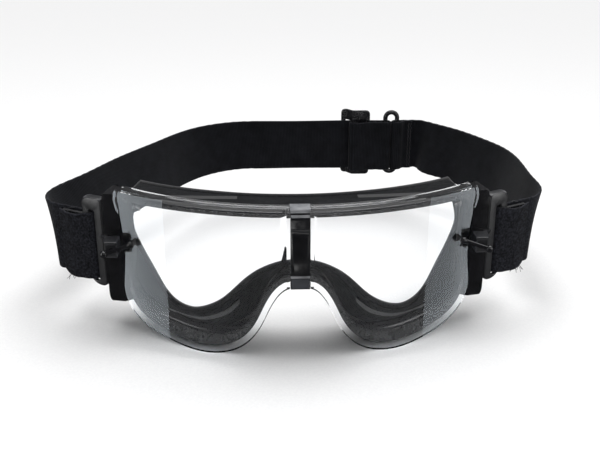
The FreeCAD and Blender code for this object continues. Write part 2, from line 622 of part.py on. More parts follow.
def rod_centre(side):
    """Middle of the oval ring's right or left rod, seen from above."""
    across = size("ring_place") + side * size("ring_width / 2 - ring_rod")
    return FreeCAD.Vector(across, size("strap_back - strap_wall / 2 - fit_gap - ring_slack - ring_rod"), 0)


def ring_reach():
    """Radius of the webbing's middle line where it turns round a rod of the ring."""
    return size("ring_rod + ring_slack + fit_gap + strap_wall / 2")


def side_strap(side, lean):
    """Middle line of a head strap from its folded end to the oval ring."""
    fold, side_start, along = front_fold()
    wide = size("lens_half_width + strap_side") - lean
    back = size("strap_back")
    shares = RIGHT_ROUTE if side > 0 else LEFT_ROUTE
    run = back - side_start.y
    route = [FreeCAD.Vector(wide * across, side_start.y + run * depth, 0) for across, depth in shares]
    level = FreeCAD.Vector(size("ring_place + 1.35 * ring_width") if side > 0 else wide * 0.2, back, 0)
    curve = Part.BSplineCurve()
    lead = size("strap_wall * 4")
    curve.interpolate([side_start, side_start + along * lead] + route + [level + FreeCAD.Vector(lead / 2, 0, 0), level])
    rod = rod_centre(side)
    rod.x *= side
    arc, first, last = turn_around(rod, ring_reach(), 90, 180 if side > 0 else 90)
    edges = fold + [curve.toShape(), line(level, first), arc]
    if side > 0:
        tail_end = FreeCAD.Vector(last.x + size("ring_width"), back - size("strap_wall + fit_gap"), 0)
        sewn = tail_end - FreeCAD.Vector(size("sewn_length"), 0, 0)
        slip = FreeCAD.Vector(size("strap_wall / 2"), 0, 0)
        tail = Part.BSplineCurve()
        tail.interpolate([last, last + slip, sewn - slip, sewn])
        edges += [tail.toShape(), line(sewn, tail_end)]
    return edges


def beside(edges, shift):
    """The same run of strap, moved sideways to one of the strap's faces."""
    runs = []
    for edge in edges:
        spots = 2 if isinstance(edge.Curve, Part.Line) else 3 if isinstance(edge.Curve, Part.Circle) else 25
        points = []
        for number in range(spots):
            place = edge.FirstParameter + (edge.LastParameter - edge.FirstParameter) * number / (spots - 1)
            along = edge.tangentAt(place)
            points.append(edge.valueAt(place) + FreeCAD.Vector(-along.y, along.x, 0) * shift)
        runs.append(points)
    moved = []
    for number, points in enumerate(runs):
        if len(points) == 2:
            moved.append(line(*points))
        elif len(points) == 3:
            moved.append(Part.Arc(*points).toShape())
        else:
            points[0] = runs[number - 1][-1]
            if number + 1 < len(runs):
                points[-1] = runs[number + 1][0]
            curve = Part.BSplineCurve()
            curve.interpolate(points)
            moved.append(curve.toShape())
    return moved


def band_between(low_line, high_line):
    """Webbing between the middle line of its lower edge and that of its upper edge."""
    wires = []
    half = size("strap_wall / 2")
    for edges, height in ((low_line, size("-strap_width / 2")), (high_line, size("strap_width / 2"))):
        inner = beside(edges, half)
        outer = beside(edges, -half)
        start = line(outer[0].firstVertex(True).Point, inner[0].firstVertex(True).Point)
        end = line(inner[-1].lastVertex(True).Point, outer[-1].lastVertex(True).Point)
        wire = Part.Wire([start] + inner + [end] + outer[::-1])
        wire.translate(FreeCAD.Vector(0, 0, height))
        wires.append(wire)
    return Part.makeLoft(wires, True, True)


def strap_piece(name, shape):
    strap = doc.addObject("Part::Feature", name)
    strap.Shape = shape
    strap.Placement = STRAP_TIP
    return strap


def make_straps():
    pieces = []
    for side, name in ((1, "strap_right"), (-1, "strap_left")):
        shape = band_between(side_strap(side, size("strap_lean")), side_strap(side, 0.0))
        if side < 0:
            shape = shape.mirror(FreeCAD.Vector(), FreeCAD.Vector(1, 0, 0))
        pieces.append(strap_piece(name, shape))
    return pieces


# ---- adjuster ----------------------------------------------------------------------
BACK_BAR_Y = "(sizes.strap_back + sizes.strap_wall / 2 + sizes.fit_gap + sizes.slider_wall / 2)"
SLIDER_HEIGHT = "(sizes.strap_width + sizes.slider_spare)"
FRONT_BAR_Y = "(sizes.strap_back - sizes.strap_wall * 1.5 - 2 * sizes.fit_gap - sizes.slider_wall / 2)"


def make_return():
    """The layer that comes back from the ring and wraps the slider's middle bar."""
    rod = rod_centre(-1)
    turn, first, last = turn_around(rod, ring_reach(), 0, -90)
    bar = FreeCAD.Vector(size("slider_place - slider_bar / 2 + slider_wall / 4"), size(FRONT_BAR_Y), 0)
    wrap_reach = size("slider_wall / 2 + fit_gap + strap_wall / 2")
    wrap, wrap_first, wrap_last = turn_around(bar, wrap_reach, 270, -180)
    over = wrap_first + FreeCAD.Vector(size("slider_pitch + 1.5 * slider_bar"), 0, 0)
    crossing = Part.BSplineCurve()
    slip = FreeCAD.Vector(size("strap_wall"), 0, 0)
    crossing.interpolate([last, last - slip, over + slip, over])
    tail_end = wrap_last + FreeCAD.Vector(size("slider_bar"), 0, 0)
    middle = [turn, crossing.toShape(), line(over, wrap_first), wrap, line(wrap_last, tail_end)]
    return strap_piece("strap_return", band_between(middle, middle))


def make_slider():
    """A stepped frame of three bars: the strap runs before the first and behind the others."""
    place = size("slider_place")
    pitch = size("slider_pitch")
    half_bar = size("slider_bar / 2")
    half = size("slider_wall / 2")
    back = size(BACK_BAR_Y)
    front = size(FRONT_BAR_Y)
    inner = place - pitch + half_bar + 0.1
    outer = place - half_bar - 0.1
    left_end = place - pitch - half_bar
    right_end = place + pitch + half_bar
    corners = [(left_end, back - half), (inner, back - half), (outer, front - half), (right_end, front - half),
               (right_end, front + half), (outer, front + half), (inner, back + half), (left_end, back + half)]
    plate = plan_prism("slider_plate", corners, f"sizes.adjuster_lift - {SLIDER_HEIGHT} / 2",
                       f"sizes.adjuster_lift + {SLIDER_HEIGHT} / 2")
    slots = []
    for number in (0, 1):
        slots.append(box(f"slider_slot_{number}", "sizes.slider_pitch - sizes.slider_bar", "4 * sizes.slider_pitch",
                         "sizes.strap_width + 3 * sizes.fit_gap",
                         f"sizes.slider_place - sizes.slider_pitch * {1 - number} + sizes.slider_bar / 2",
                         "sizes.strap_back - 2 * sizes.slider_pitch",
                         "-sizes.strap_width / 2 - sizes.fit_gap"))
    blank = join("Cut", "slider_blank", plate, join("MultiFuse", "slider_slots", *slots))
    doc.recompute()
    rounded = doc.addObject("Part::Fillet", "slider")
    rounded.Base = blank
    box_of = blank.Shape.BoundBox
    rounded.Edges = [(number, size("slider_round"), size("slider_round")) for number, edge in enumerate(blank.Shape.Edges, start=1)
                     if edge.BoundBox.ZLength < 0.01 and edge.BoundBox.XLength < 0.01
                     and (edge.BoundBox.XMin < box_of.XMin + 0.01 or edge.BoundBox.XMin > box_of.XMax - 0.01)]
    rounded.Placement = STRAP_TIP
    return rounded


def make_ring():
    """An oval ring: two straight rods joined by half rings."""
    bend = "sizes.ring_width / 2 - sizes.ring_rod"
    straight = "(sizes.strap_width + sizes.ring_spare - sizes.ring_width)"
    level = "sizes.strap_back - sizes.strap_wall / 2 - sizes.fit_gap - sizes.ring_slack - sizes.ring_rod"
    pieces = []
    for name, side in (("right", "+"), ("left", "-")):
        rod = doc.addObject("Part::Cylinder", f"ring_rod_{name}")
        bind(rod, Radius="sizes.ring_rod", Height=straight, Placement__Base__x=f"sizes.ring_place {side} ({bend})",
             Placement__Base__y=level, Placement__Base__z=f"sizes.adjuster_lift - {straight} / 2")
        pieces.append(rod)
    for name, side, turn in (("top", "+", 90), ("bottom", "-", -90)):
        arch = doc.addObject("Part::Torus", f"ring_arch_{name}")
        arch.Placement.Rotation = FreeCAD.Rotation(FreeCAD.Vector(1, 0, 0), turn)
        arch.Angle3 = 180
        bind(arch, Radius1=bend, Radius2="sizes.ring_rod", Placement__Base__x="sizes.ring_place",
             Placement__Base__y=level, Placement__Base__z=f"sizes.adjuster_lift {side} {straight} / 2")
        pieces.append(arch)
    ring = join("MultiFuse", "oval_ring", *pieces)
    ring.Placement = STRAP_TIP
    return ring


# ---- hook patches and stitching ------------------------------------------------------
def make_patches():
    """Hook patches under the folded strap ends, which grip the strap behind them."""
    base, along, across = sweep_line()
    start = size("slot_start + slot_width + 2 * wing_wall + fit_gap")
    end = size("slot_start + slot_width + wing_wall / 2 + flap_length - fit_gap")
    start = max(start, size("wing_length + fit_gap"))
    reach = size("wing_wall / 2")
    patch = plan_prism("hook_patch_right", wing_plan(start, end, -reach, reach),
                       "-sizes.strap_width / 2 + 1.5", "sizes.strap_width / 2 - 1.5")
    return [patch, mirrored("hook_patch_left", patch)]


def make_stitching():
    """Two rows of thick thread that close the right strap's loop round the ring."""
    rows = []
    sewn_end = "sizes.ring_place + sizes.ring_width * 1.5 - sizes.ring_rod"
    for number, share in enumerate((0.25, 0.7)):
        thread = doc.addObject("Part::Cylinder", f"thread_{number}")
        bind(thread, Radius="sizes.thread_radius", Height="sizes.strap_width - 2 * sizes.sewn_margin",
             Placement__Base__x=f"{sewn_end} - {share} * sizes.sewn_length",
             Placement__Base__y="sizes.strap_back - 1.5 * sizes.strap_wall - sizes.fit_gap - sizes.thread_radius - 0.05",
             Placement__Base__z="sizes.sewn_margin - sizes.strap_width / 2")
        rows.append(thread)
    stitching = join("MultiFuse", "ring_loop_stitching", *rows)
    stitching.Placement = STRAP_TIP
    return stitching


# ---- the whole object ------------------------------------------------------------------
lens = make_lens()
gasket = make_gasket()
rim = make_rim()
skirt_parts = finish_skirt(make_skirt())
seal = make_seal()
clip = make_clip()
pin = make_pin()
toggles = make_toggles()
outriggers = make_outriggers()
straps = make_straps()
strap_return = make_return()
slider = make_slider()
ring = make_ring()
patches = make_patches()
stitching = make_stitching()
SUB_PARTS = ([lens, gasket, rim, seal, clip, pin, strap_return, slider, ring, stitching]
             + skirt_parts + toggles + outriggers + straps + patches)
doc.recompute()

for item in doc.Objects:
    if {"Invalid", "Error"} & set(item.State):
        raise RuntimeError(f"{item.Name} failed: {item.State}")

os.makedirs("parts", exist_ok=True)
for part in SUB_PARTS:
    shape = part.Shape
    if shape.isNull() or not shape.isValid() or not shape.Solids:
        raise RuntimeError(f"{part.Name} has no valid shape")
    part.Label = part.Name
    shape.exportStep(f"parts/{part.Label}.step")
    spread = shape.BoundBox
    print(f"{part.Label:24s} {len(shape.Solids)} {shape.Volume:10.1f} mm3  "
          f"x {spread.XMin:7.1f} {spread.XMax:7.1f}  y {spread.YMin:7.1f} {spread.YMax:7.1f}  "
          f"z {spread.ZMin:6.1f} {spread.ZMax:6.1f}")
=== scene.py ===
# %% [markdown]
# # Sports protective goggles
# The finished design is already there as a set of solid parts with hinges. This
# lesson dresses it: each soft or rounded piece is built again as a mesh with its
# real edges, folds and seams, and every surface gets a finish made from nodes.
# Nothing is moved, because the parts hang together by their hinges.

# %% Load the designed parts
import math
import random

import bpy
import bmesh
import json
import numpy as np
from mathutils import Matrix, Vector

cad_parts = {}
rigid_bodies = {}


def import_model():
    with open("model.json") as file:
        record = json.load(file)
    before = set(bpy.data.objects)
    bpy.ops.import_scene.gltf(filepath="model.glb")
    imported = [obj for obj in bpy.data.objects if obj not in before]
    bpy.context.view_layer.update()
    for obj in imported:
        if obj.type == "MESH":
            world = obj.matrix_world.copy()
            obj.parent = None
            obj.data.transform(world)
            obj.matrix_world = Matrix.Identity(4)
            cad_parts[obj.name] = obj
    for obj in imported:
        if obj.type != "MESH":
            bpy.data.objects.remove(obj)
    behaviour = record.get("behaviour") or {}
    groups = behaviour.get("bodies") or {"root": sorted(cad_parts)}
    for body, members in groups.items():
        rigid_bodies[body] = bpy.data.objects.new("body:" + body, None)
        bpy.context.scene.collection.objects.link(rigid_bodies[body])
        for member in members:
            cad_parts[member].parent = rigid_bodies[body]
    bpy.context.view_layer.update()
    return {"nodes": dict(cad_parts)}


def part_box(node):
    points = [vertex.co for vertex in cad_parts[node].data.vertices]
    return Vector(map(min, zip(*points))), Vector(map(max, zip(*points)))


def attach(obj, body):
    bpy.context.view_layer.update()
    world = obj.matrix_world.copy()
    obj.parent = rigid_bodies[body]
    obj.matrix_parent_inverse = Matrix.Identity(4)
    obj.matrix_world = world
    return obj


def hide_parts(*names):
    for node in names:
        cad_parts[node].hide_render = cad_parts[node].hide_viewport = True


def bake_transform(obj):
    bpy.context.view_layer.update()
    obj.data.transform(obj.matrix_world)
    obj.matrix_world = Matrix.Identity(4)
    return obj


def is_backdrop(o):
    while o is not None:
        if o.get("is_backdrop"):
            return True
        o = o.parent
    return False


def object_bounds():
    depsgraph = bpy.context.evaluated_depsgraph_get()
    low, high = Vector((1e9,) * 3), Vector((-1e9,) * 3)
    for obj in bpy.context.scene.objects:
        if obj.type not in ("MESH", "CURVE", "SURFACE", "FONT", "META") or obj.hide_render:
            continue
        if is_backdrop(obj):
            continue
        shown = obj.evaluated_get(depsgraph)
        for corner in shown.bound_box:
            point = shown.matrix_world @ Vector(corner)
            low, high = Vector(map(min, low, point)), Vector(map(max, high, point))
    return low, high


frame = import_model()
MM = 0.001
random.seed(7)
print("designed parts:", len(frame["nodes"]))

# %% [markdown]
# ## Finishes
# A finish is a small graph of nodes. Plastic is never one even colour: its gloss
# drifts a little and its skin has a fine grain, so each graph starts from noise
# measured in the object's own coordinates and ends in one Principled shader.

# %% A helper that adds nodes
def node(tree, kind, inputs=None, **settings):
    """Add a node, set its options, and fill or link its inputs."""
    made = tree.nodes.new("ShaderNode" + kind)
    for name, value in settings.items():
        setattr(made, name, value)
    for name, value in (inputs or {}).items():
        if isinstance(value, bpy.types.NodeSocket):
            tree.links.new(value, made.inputs[name])
        else:
            made.inputs[name].default_value = value
    return made


def new_finish(name, **plain):
    """An empty finish: its node tree and its shader, with plain values set on the shader."""
    made = bpy.data.materials.new(name)
    made.use_nodes = True
    tree = made.node_tree
    shader = tree.nodes["Principled BSDF"]
    for socket, value in plain.items():
        shader.inputs[socket.replace("_", " ")].default_value = value
    return made, tree, shader


def local(tree):
    """The place in the object's own coordinates."""
    return node(tree, "TexCoord").outputs["Object"]


def speckle(tree, size_mm, detail=3.0):
    """Noise whose grains are about this many millimetres across."""
    noise = node(tree, "TexNoise", {"Vector": local(tree), "Scale": 1.0 / (size_mm * MM), "Detail": detail})
    return noise.outputs["Fac"]


def maths(tree, operation, *values):
    """One sum: its values are numbers or the results of other nodes."""
    return node(tree, "Math", dict(enumerate(values)), operation=operation).outputs[0]


def spread(tree, value, low, high, start=0.35, end=0.65):
    """Stretch the middle of a noise over a range of numbers."""
    return node(tree, "MapRange", {"Value": value, "From Min": start, "From Max": end,
                                   "To Min": low, "To Max": high}).outputs["Result"]


def tones(tree, value, dark, light, start=0.35, end=0.65):
    """Mix two colours by a noise."""
    ramp = node(tree, "ValToRGB", {"Fac": value})
    ramp.color_ramp.elements[0].position, ramp.color_ramp.elements[1].position = start, end
    ramp.color_ramp.elements[0].color, ramp.color_ramp.elements[1].color = (*dark, 1.0), (*light, 1.0)
    return ramp.outputs["Color"]


def relief(tree, shader, height, depth_mm, strength=1.0):
    """Raise and sink a surface by a pattern."""
    bump = node(tree, "Bump", {"Height": height, "Distance": depth_mm * MM, "Strength": strength})
    tree.links.new(bump.outputs["Normal"], shader.inputs["Normal"])


def cover(tree, shader, colour, roughness):
    """Give the shader a pattern of colour and one of roughness."""
    tree.links.new(colour, shader.inputs["Base Color"])
    tree.links.new(roughness, shader.inputs["Roughness"])


# %% [markdown]
# ### Moulded plastics
# The rim and the clip are polished black, the outriggers and forks come from a
# mould with a satin skin, and the clip's top has a coarse grip texture. One
# function makes all of them from a base colour, a range of gloss and a grain.
# The satin and buckle plastics also get a painted highlight on their convex
# edges, the grip's light grey is painted light, and the foot's blue-grey is a
# painted reflection.

# %% Moulded plastics
def moulded(name, dark, light, gloss, grain_mm, depth_mm, knit_tone_and_edge_highlight=0.0):
    """Black plastic: gloss runs from the first to the second roughness, and the last number paints a lighter
    grey on convex edges as a painted highlight.
    """
    made, tree, shader = new_finish(name, Specular_IOR_Level=0.5)
    drift = speckle(tree, 9.0)
    colour = tones(tree, drift, dark, light)
    # Painted highlight: convex edges, found by their pointiness, are mixed towards a lighter grey, as if
    # light caught them.
    if knit_tone_and_edge_highlight:
        edge = node(tree, "NewGeometry").outputs["Pointiness"]
        painted_edge_highlight = spread(tree, edge, 0.0, knit_tone_and_edge_highlight, 0.53, 0.6)
        mix = node(tree, "Mix", data_type="RGBA")
        tree.links.new(painted_edge_highlight, mix.inputs["Factor"])
        tree.links.new(colour, mix.inputs["A"])
        mix.inputs["B"].default_value = (0.09, 0.09, 0.1, 1.0)
        colour = mix.outputs["Result"]
    cover(tree, shader, colour, spread(tree, speckle(tree, 2.5), gloss[0], gloss[1]))
    relief(tree, shader, speckle(tree, grain_mm, 2.0), depth_mm)
    return made


POLISHED = moulded("polished_black", (0.004, 0.004, 0.005), (0.009, 0.009, 0.011), (0.08, 0.17), 1.6, 0.006)
# The last number given to the satin and buckle finishes is the strength of their painted edge highlight.
SATIN = moulded("satin_black", (0.010, 0.011, 0.013), (0.018, 0.019, 0.022), (0.30, 0.42), 0.35, 0.012, 0.4)
BUCKLE = moulded("buckle_black", (0.006, 0.006, 0.008), (0.013, 0.013, 0.016), (0.22, 0.34), 0.5, 0.01, 0.5)
# Painted light: the grip's light grey stands for light falling on the clip's grained top and for the bright
# line along the foot's ledge.
PAINTED_LIGHT_GRIP = moulded("grained_grip", (0.10, 0.104, 0.112), (0.27, 0.275, 0.29), (0.35, 0.6), 0.45, 0.12)
# Painted reflection: the foot's blue-grey, lighter than the black bar, stands for the surroundings mirrored
# in it.
FOOT_PAINTED_REFLECTION = moulded("clip_foot_satin", (0.030, 0.034, 0.042), (0.050, 0.055, 0.066), (0.28, 0.4), 0.4, 0.02)
RUBBER = moulded("lens_gasket_rubber", (0.003, 0.003, 0.0035), (0.006, 0.006, 0.007), (0.2, 0.3), 1.4, 0.001)
print("moulded finishes:", POLISHED.name, SATIN.name, BUCKLE.name, PAINTED_LIGHT_GRIP.name, FOOT_PAINTED_REFLECTION.name, RUBBER.name)

# %% [markdown]
# ### Clear lens
# The lens is a thick clear sheet. It bends light less than real polycarbonate
# does, because a stronger bend also mirrors the pale floor and veils the dark
# frame behind it. A trace of grease makes the gloss drift, so it can be seen.

# %% Clear lens finish
LENS_BEND = 1.25


def clear_sheet():
    made, tree, shader = new_finish("clear_sheet", Base_Color=(0.985, 0.992, 1.0, 1.0), IOR=LENS_BEND,
                                    Transmission_Weight=1.0)
    haze = spread(tree, speckle(tree, 14.0, 4.0), 0.0, 0.035, 0.45, 0.8)
    tree.links.new(haze, shader.inputs["Roughness"])
    relief(tree, shader, speckle(tree, 26.0, 1.0), 0.02, 0.3)
    return made


CLEAR = clear_sheet()

# %% [markdown]
# ### Soft parts
# The soft frame is a dull, dark, rubber-like plastic. The face seal is a
# closed-cell foam, and the vents hold an open one, so both get the same cell
# pattern at two sizes. Cells come from a Voronoi texture, which packs like foam.

# %% Soft finishes
def soft_plastic():
    made, tree, shader = new_finish("soft_grey_plastic", Specular_IOR_Level=0.1)
    colour = tones(tree, speckle(tree, 12.0, 4.0), (0.005, 0.0054, 0.0064), (0.010, 0.0106, 0.0122))
    cover(tree, shader, colour, spread(tree, speckle(tree, 3.0), 0.5, 0.66))
    relief(tree, shader, speckle(tree, 0.4, 2.0), 0.02)
    return made


def foam(name, cell_mm, depth_mm, dark, light):
    made, tree, shader = new_finish(name, Specular_IOR_Level=0.25, Sheen_Weight=0.2, Sheen_Roughness=0.6)
    pattern = node(tree, "TexVoronoi", {"Vector": local(tree), "Scale": 1.0 / (cell_mm * MM)})
    cells = pattern.outputs["Distance"]
    colour = tones(tree, cells, light, dark, 0.1, 0.7)
    cover(tree, shader, colour, spread(tree, speckle(tree, 1.5), 0.78, 0.95))
    relief(tree, shader, cells, depth_mm)
    return made


SOFT = soft_plastic()
SEAL_FOAM = foam("face_seal_foam", 0.7, 0.05, (0.010, 0.010, 0.012), (0.026, 0.027, 0.03))
VENT_FOAM = foam("open_vent_foam", 0.9, 0.12, (0.007, 0.007, 0.008), (0.02, 0.021, 0.023))

# %% [markdown]
# ### Elastic webbing
# The head strap is knitted elastic: fine ribs run across it, and close to the
# outriggers its face changes to a fuzzy pile that the hook patches grip. The mesh
# will carry a map in millimetres, along the strap and across it, so the ribs
# follow every bend, and one number along the strap says where the pile begins.

# %% Webbing finish
RIB_PITCH = 1.15
ROW_PITCH = 0.62
PILE_END = 62.0


def webbing(name, pile_end=0.0):
    made, tree, shader = new_finish(name, Specular_IOR_Level=0.2, Sheen_Weight=0.06, Sheen_Roughness=0.4)
    split = node(tree, "SeparateXYZ", {"Vector": node(tree, "UVMap", uv_map="weave").outputs["UV"]})
    along, across = split.outputs["X"], split.outputs["Y"]
    turns = maths(tree, "MULTIPLY", along, 2 * math.pi / RIB_PITCH)
    wander = maths(tree, "MULTIPLY", speckle(tree, 9.0), 1.2)
    ribs = maths(tree, "SINE", maths(tree, "ADD", turns, wander))
    stitches = maths(tree, "SINE", maths(tree, "MULTIPLY", across, 2 * math.pi / ROW_PITCH))
    knit = maths(tree, "MULTIPLY_ADD", stitches, 0.12, ribs)
    level = maths(tree, "MULTIPLY_ADD", knit, 0.3, 0.5)
    knit_tone_and_edge_highlight = maths(tree, "MULTIPLY", level, speckle(tree, 7.0, 4.0))
    cloth = tones(tree, knit_tone_and_edge_highlight, (0.003, 0.0034, 0.005), (0.0125, 0.0135, 0.018), 0.05, 0.5)
    fuzz = speckle(tree, 0.35, 4.0)
    pile = maths(tree, "MULTIPLY", fuzz, speckle(tree, 1.2, 3.0))
    fibre = tones(tree, pile, (0.003, 0.0032, 0.0048), (0.032, 0.034, 0.045), 0.17, 0.42)
    zone = node(tree, "MapRange", {"Value": along, "From Min": pile_end, "From Max": pile_end + 1.5,
                                   "To Min": 1.0, "To Max": 0.0}).outputs["Result"]
    colour = node(tree, "Mix", data_type="RGBA")
    height = node(tree, "Mix", data_type="FLOAT")
    for mix, first, second in ((colour, cloth, fibre), (height, level, pile)):
        tree.links.new(zone, mix.inputs["Factor"])
        sockets = [s for s in mix.inputs if s.name in ("A", "B") and s.enabled]
        tree.links.new(first, sockets[0])
        tree.links.new(second, sockets[1])
    cover(tree, shader, next(s for s in colour.outputs if s.enabled), spread(tree, fuzz, 0.72, 0.92))
    relief(tree, shader, next(s for s in height.outputs if s.enabled), 0.22, 0.8)
    return made


ELASTIC = webbing("elastic_webbing")
PILE_ELASTIC = webbing("elastic_webbing_with_pile", PILE_END)


def hook_tape():
    made, tree, shader = new_finish("hook_tape", Specular_IOR_Level=0.4)
    cells = node(tree, "TexVoronoi", {"Vector": local(tree), "Scale": 900.0, "Randomness": 0.35})
    hooks = cells.outputs["Distance"]
    colour = tones(tree, hooks, (0.05, 0.052, 0.058), (0.008, 0.008, 0.01), 0.1, 0.5)
    cover(tree, shader, colour, spread(tree, speckle(tree, 2.0), 0.4, 0.6))
    relief(tree, shader, hooks, -0.5)
    return made


def thread_finish():
    made, tree, shader = new_finish("sewing_thread", Specular_IOR_Level=0.4, Sheen_Weight=0.3)
    twist = node(tree, "TexWave", {"Vector": local(tree), "Scale": 900.0, "Distortion": 1.5}).outputs["Fac"]
    colour = tones(tree, twist, (0.006, 0.006, 0.008), (0.024, 0.025, 0.03))
    cover(tree, shader, colour, spread(tree, speckle(tree, 1.0), 0.5, 0.7))
    relief(tree, shader, twist, 0.06)
    return made


def brushed_steel():
    made, tree, shader = new_finish("brushed_steel_pin", Metallic=1.0)
    place = node(tree, "Mapping", {"Vector": local(tree), "Scale": (60.0, 2500.0, 2500.0)}).outputs["Vector"]
    scratches = node(tree, "TexNoise", {"Vector": place, "Scale": 1.0, "Detail": 2.0}).outputs["Fac"]
    colour = tones(tree, scratches, (0.42, 0.42, 0.43), (0.62, 0.62, 0.63))
    cover(tree, shader, colour, spread(tree, scratches, 0.2, 0.38))
    relief(tree, shader, scratches, 0.01)
    return made


HOOKS, THREAD, STEEL = hook_tape(), thread_finish(), brushed_steel()
print("finishes made:", len(bpy.data.materials))

# %% [markdown]
# ## Meshes in millimetres
# Every piece below is a list of points in millimetres and a list of faces. One
# helper turns them into an object in metres, gives it its finish and lets it ride
# on the body that carries it, so a hinge moves the dressed piece as well.

# %% Turn points and faces into a piece
def placed(name, data):
    """Put a mesh, a curve, a lamp or a camera into the scene."""
    piece = bpy.data.objects.new(name, data)
    bpy.context.scene.collection.objects.link(piece)
    return piece


def stored(shape, mesh):
    """Write a shape that was edited into a mesh."""
    shape.to_mesh(mesh)
    shape.free()
    return mesh


def evaluated(piece):
    """A piece's mesh with its modifiers, or with its curve's thickness."""
    bpy.context.view_layer.update()
    return bpy.data.meshes.new_from_object(piece.evaluated_get(bpy.context.evaluated_depsgraph_get()))


def make_piece(name, points, faces, finish, body="frame", weave=None, sharp=40.0):
    """A piece from points in millimetres; weave is one (along, across) pair for each face corner."""
    mesh = bpy.data.meshes.new(name)
    mesh.from_pydata([tuple(float(c) * MM for c in p) for p in points], [],
                     [tuple(int(i) for i in f) for f in faces])
    if weave is not None:
        layer = mesh.uv_layers.new(name="weave")
        layer.data.foreach_set("uv", np.array(weave, np.float32).ravel())
    shape = bmesh.new()
    shape.from_mesh(mesh)
    bmesh.ops.recalc_face_normals(shape, faces=shape.faces)
    return dress(placed(name, stored(shape, mesh)), finish, body, sharp)


def dress(piece, finish, body="frame", sharp=40.0):
    """Finish, smooth shading, material slot and body for a piece that is in place."""
    piece.data.materials.clear()
    piece.data.materials.append(finish)
    piece.data.shade_smooth()
    piece.data.set_sharp_from_angle(angle=math.radians(sharp))
    if body:
        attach(piece, body)
    return piece


def soften(piece, width_mm):
    """Round a piece's edges, as any moulded edge is."""
    bevel = piece.modifiers.new("rounded_edges", "BEVEL")
    bevel.width = width_mm * MM
    bevel.segments = 3
    bevel.limit_method = "ANGLE"
    bevel.angle_limit = math.radians(35.0)
    bevel.harden_normals = True
    return piece


def give(node_name, finish):
    """A designed part that stays as it is gets its finish here."""
    slots = frame["nodes"][node_name].material_slots
    for place in slots:
        place.material = finish
    if not slots:
        frame["nodes"][node_name].data.materials.append(finish)


# %% [markdown]
# ## Outlines
# Lens, rim and face seal share one kind of outline: a long level top, sloping
# sides, two lobes under the eyes and an arch over the nose. A few stations on the
# right half say where it goes, a smooth curve joins them, and the left half is
# its mirror image. Every outline is sampled at the same stations, so a piece that
# lies between two outlines is simply joined point to point.

# %% A smooth line through a few points
def smooth(points, steps):
    """A natural cubic curve through the points, with this many steps in each span."""
    points = np.array(points, float)
    gaps = np.linalg.norm(np.diff(points, axis=0), axis=1)
    count = len(points)
    system = np.eye(count)
    wanted = np.zeros_like(points)
    for i in range(1, count - 1):
        system[i, i - 1:i + 2] = gaps[i - 1], 2 * (gaps[i - 1] + gaps[i]), gaps[i]
        wanted[i] = 6 * ((points[i + 1] - points[i]) / gaps[i] - (points[i] - points[i - 1]) / gaps[i - 1])
    bend = np.linalg.solve(system, wanted)
    made = []
    for i, gap in enumerate(gaps):
        for step in range(steps):
            a = step / steps
            b = 1 - a
            made.append(b * points[i] + a * points[i + 1]
                        + gap * gap / 6 * ((b ** 3 - b) * bend[i] + (a ** 3 - a) * bend[i + 1]))
    made.append(points[-1])
    return np.array(made)


# %% Stations of the three outlines
SHOULDER = [(0.842, 0.483), (0.514, 0.811)]
LENS_SIDE = dict(corner=(0.985, 1.0), edge=(1.0, 3.5), side=[(0.983, 17), (0.978, -8), (0.987, -25)],
                 shoulder=SHOULDER, flank=[(0.632, 0.866), (0.43, 0.593), (0.274, 0.201), (0.114, 0.01)])
RIM_SIDE = dict(LENS_SIDE, side=[(0.99, 17), (0.985, -8), (0.98, -20)],
                flank=[(0.72, 0.915), (0.53, 0.70), (0.36, 0.28), (0.17, 0.035)])
FACE_SIDE = dict(corner=(0.86, 1.2), edge=(0.93, 9.0), side=[(0.97, 10), (0.985, 0), (0.95, -10)],
                 shoulder=[(0.72, 0.45), (0.42, 0.86)],
                 flank=[(0.8, 0.894), (0.60, 0.65), (0.38, 0.26), (0.18, 0.06)])
TOP_STATIONS = 4
SPAN_STEPS = 6


def stations(shape, half, top, low, lobe, nose):
    """Right half of an outline, from the middle of the top to the nose."""
    corner, drop = half * shape["corner"][0], shape["corner"][1]
    points = [(0.0, top), (corner / 3, top), (corner * 2 / 3, top - drop * 0.2), (corner, top - drop)]
    points.append((half * shape["edge"][0], top - shape["edge"][1]))
    points += [(half * across, height) for across, height in shape["side"]]
    side_x, side_z = points[-1]
    points += [(lobe + (side_x - lobe) * across, side_z + (low - side_z) * down)
               for across, down in shape["shoulder"]]
    points.append((lobe, low))
    points += [(lobe * across, nose + (low - nose) * down) for across, down in shape["flank"]]
    points.append((0.0, nose))
    return points


def edges_of(points):
    """The top edge from left to right, and the lower edge from right to left."""
    left = [(-x, z) for x, z in points]
    top = smooth(left[TOP_STATIONS - 1:0:-1] + points[:TOP_STATIONS], SPAN_STEPS)
    low = smooth(points[TOP_STATIONS:] + left[-2:TOP_STATIONS - 1:-1], SPAN_STEPS)
    return top, low


def loop_of(points):
    """A closed outline: clockwise seen from the front, corners included."""
    top, low = edges_of(points)
    return np.concatenate([top, low])


def grown(loop, distance):
    """An outline moved outwards by a distance."""
    ahead = np.roll(loop, -1, axis=0) - np.roll(loop, 1, axis=0)
    ahead /= np.linalg.norm(ahead, axis=1)[:, None]
    return loop + distance * np.column_stack([-ahead[:, 1], ahead[:, 0]])


LENS_LOOP = loop_of(stations(LENS_SIDE, 92.5, 34.0, -45.6, 47.5, -6.8))
OPENING_LOOP = loop_of(stations(RIM_SIDE, 87.0, 28.5, -34.6, 45.0, 0.8))
FACE_LOOP = loop_of(stations(FACE_SIDE, 100.0, 29.5, -46.5, 58.5, -12.6))
print("points in an outline:", len(LENS_LOOP), len(OPENING_LOOP), len(FACE_LOOP))

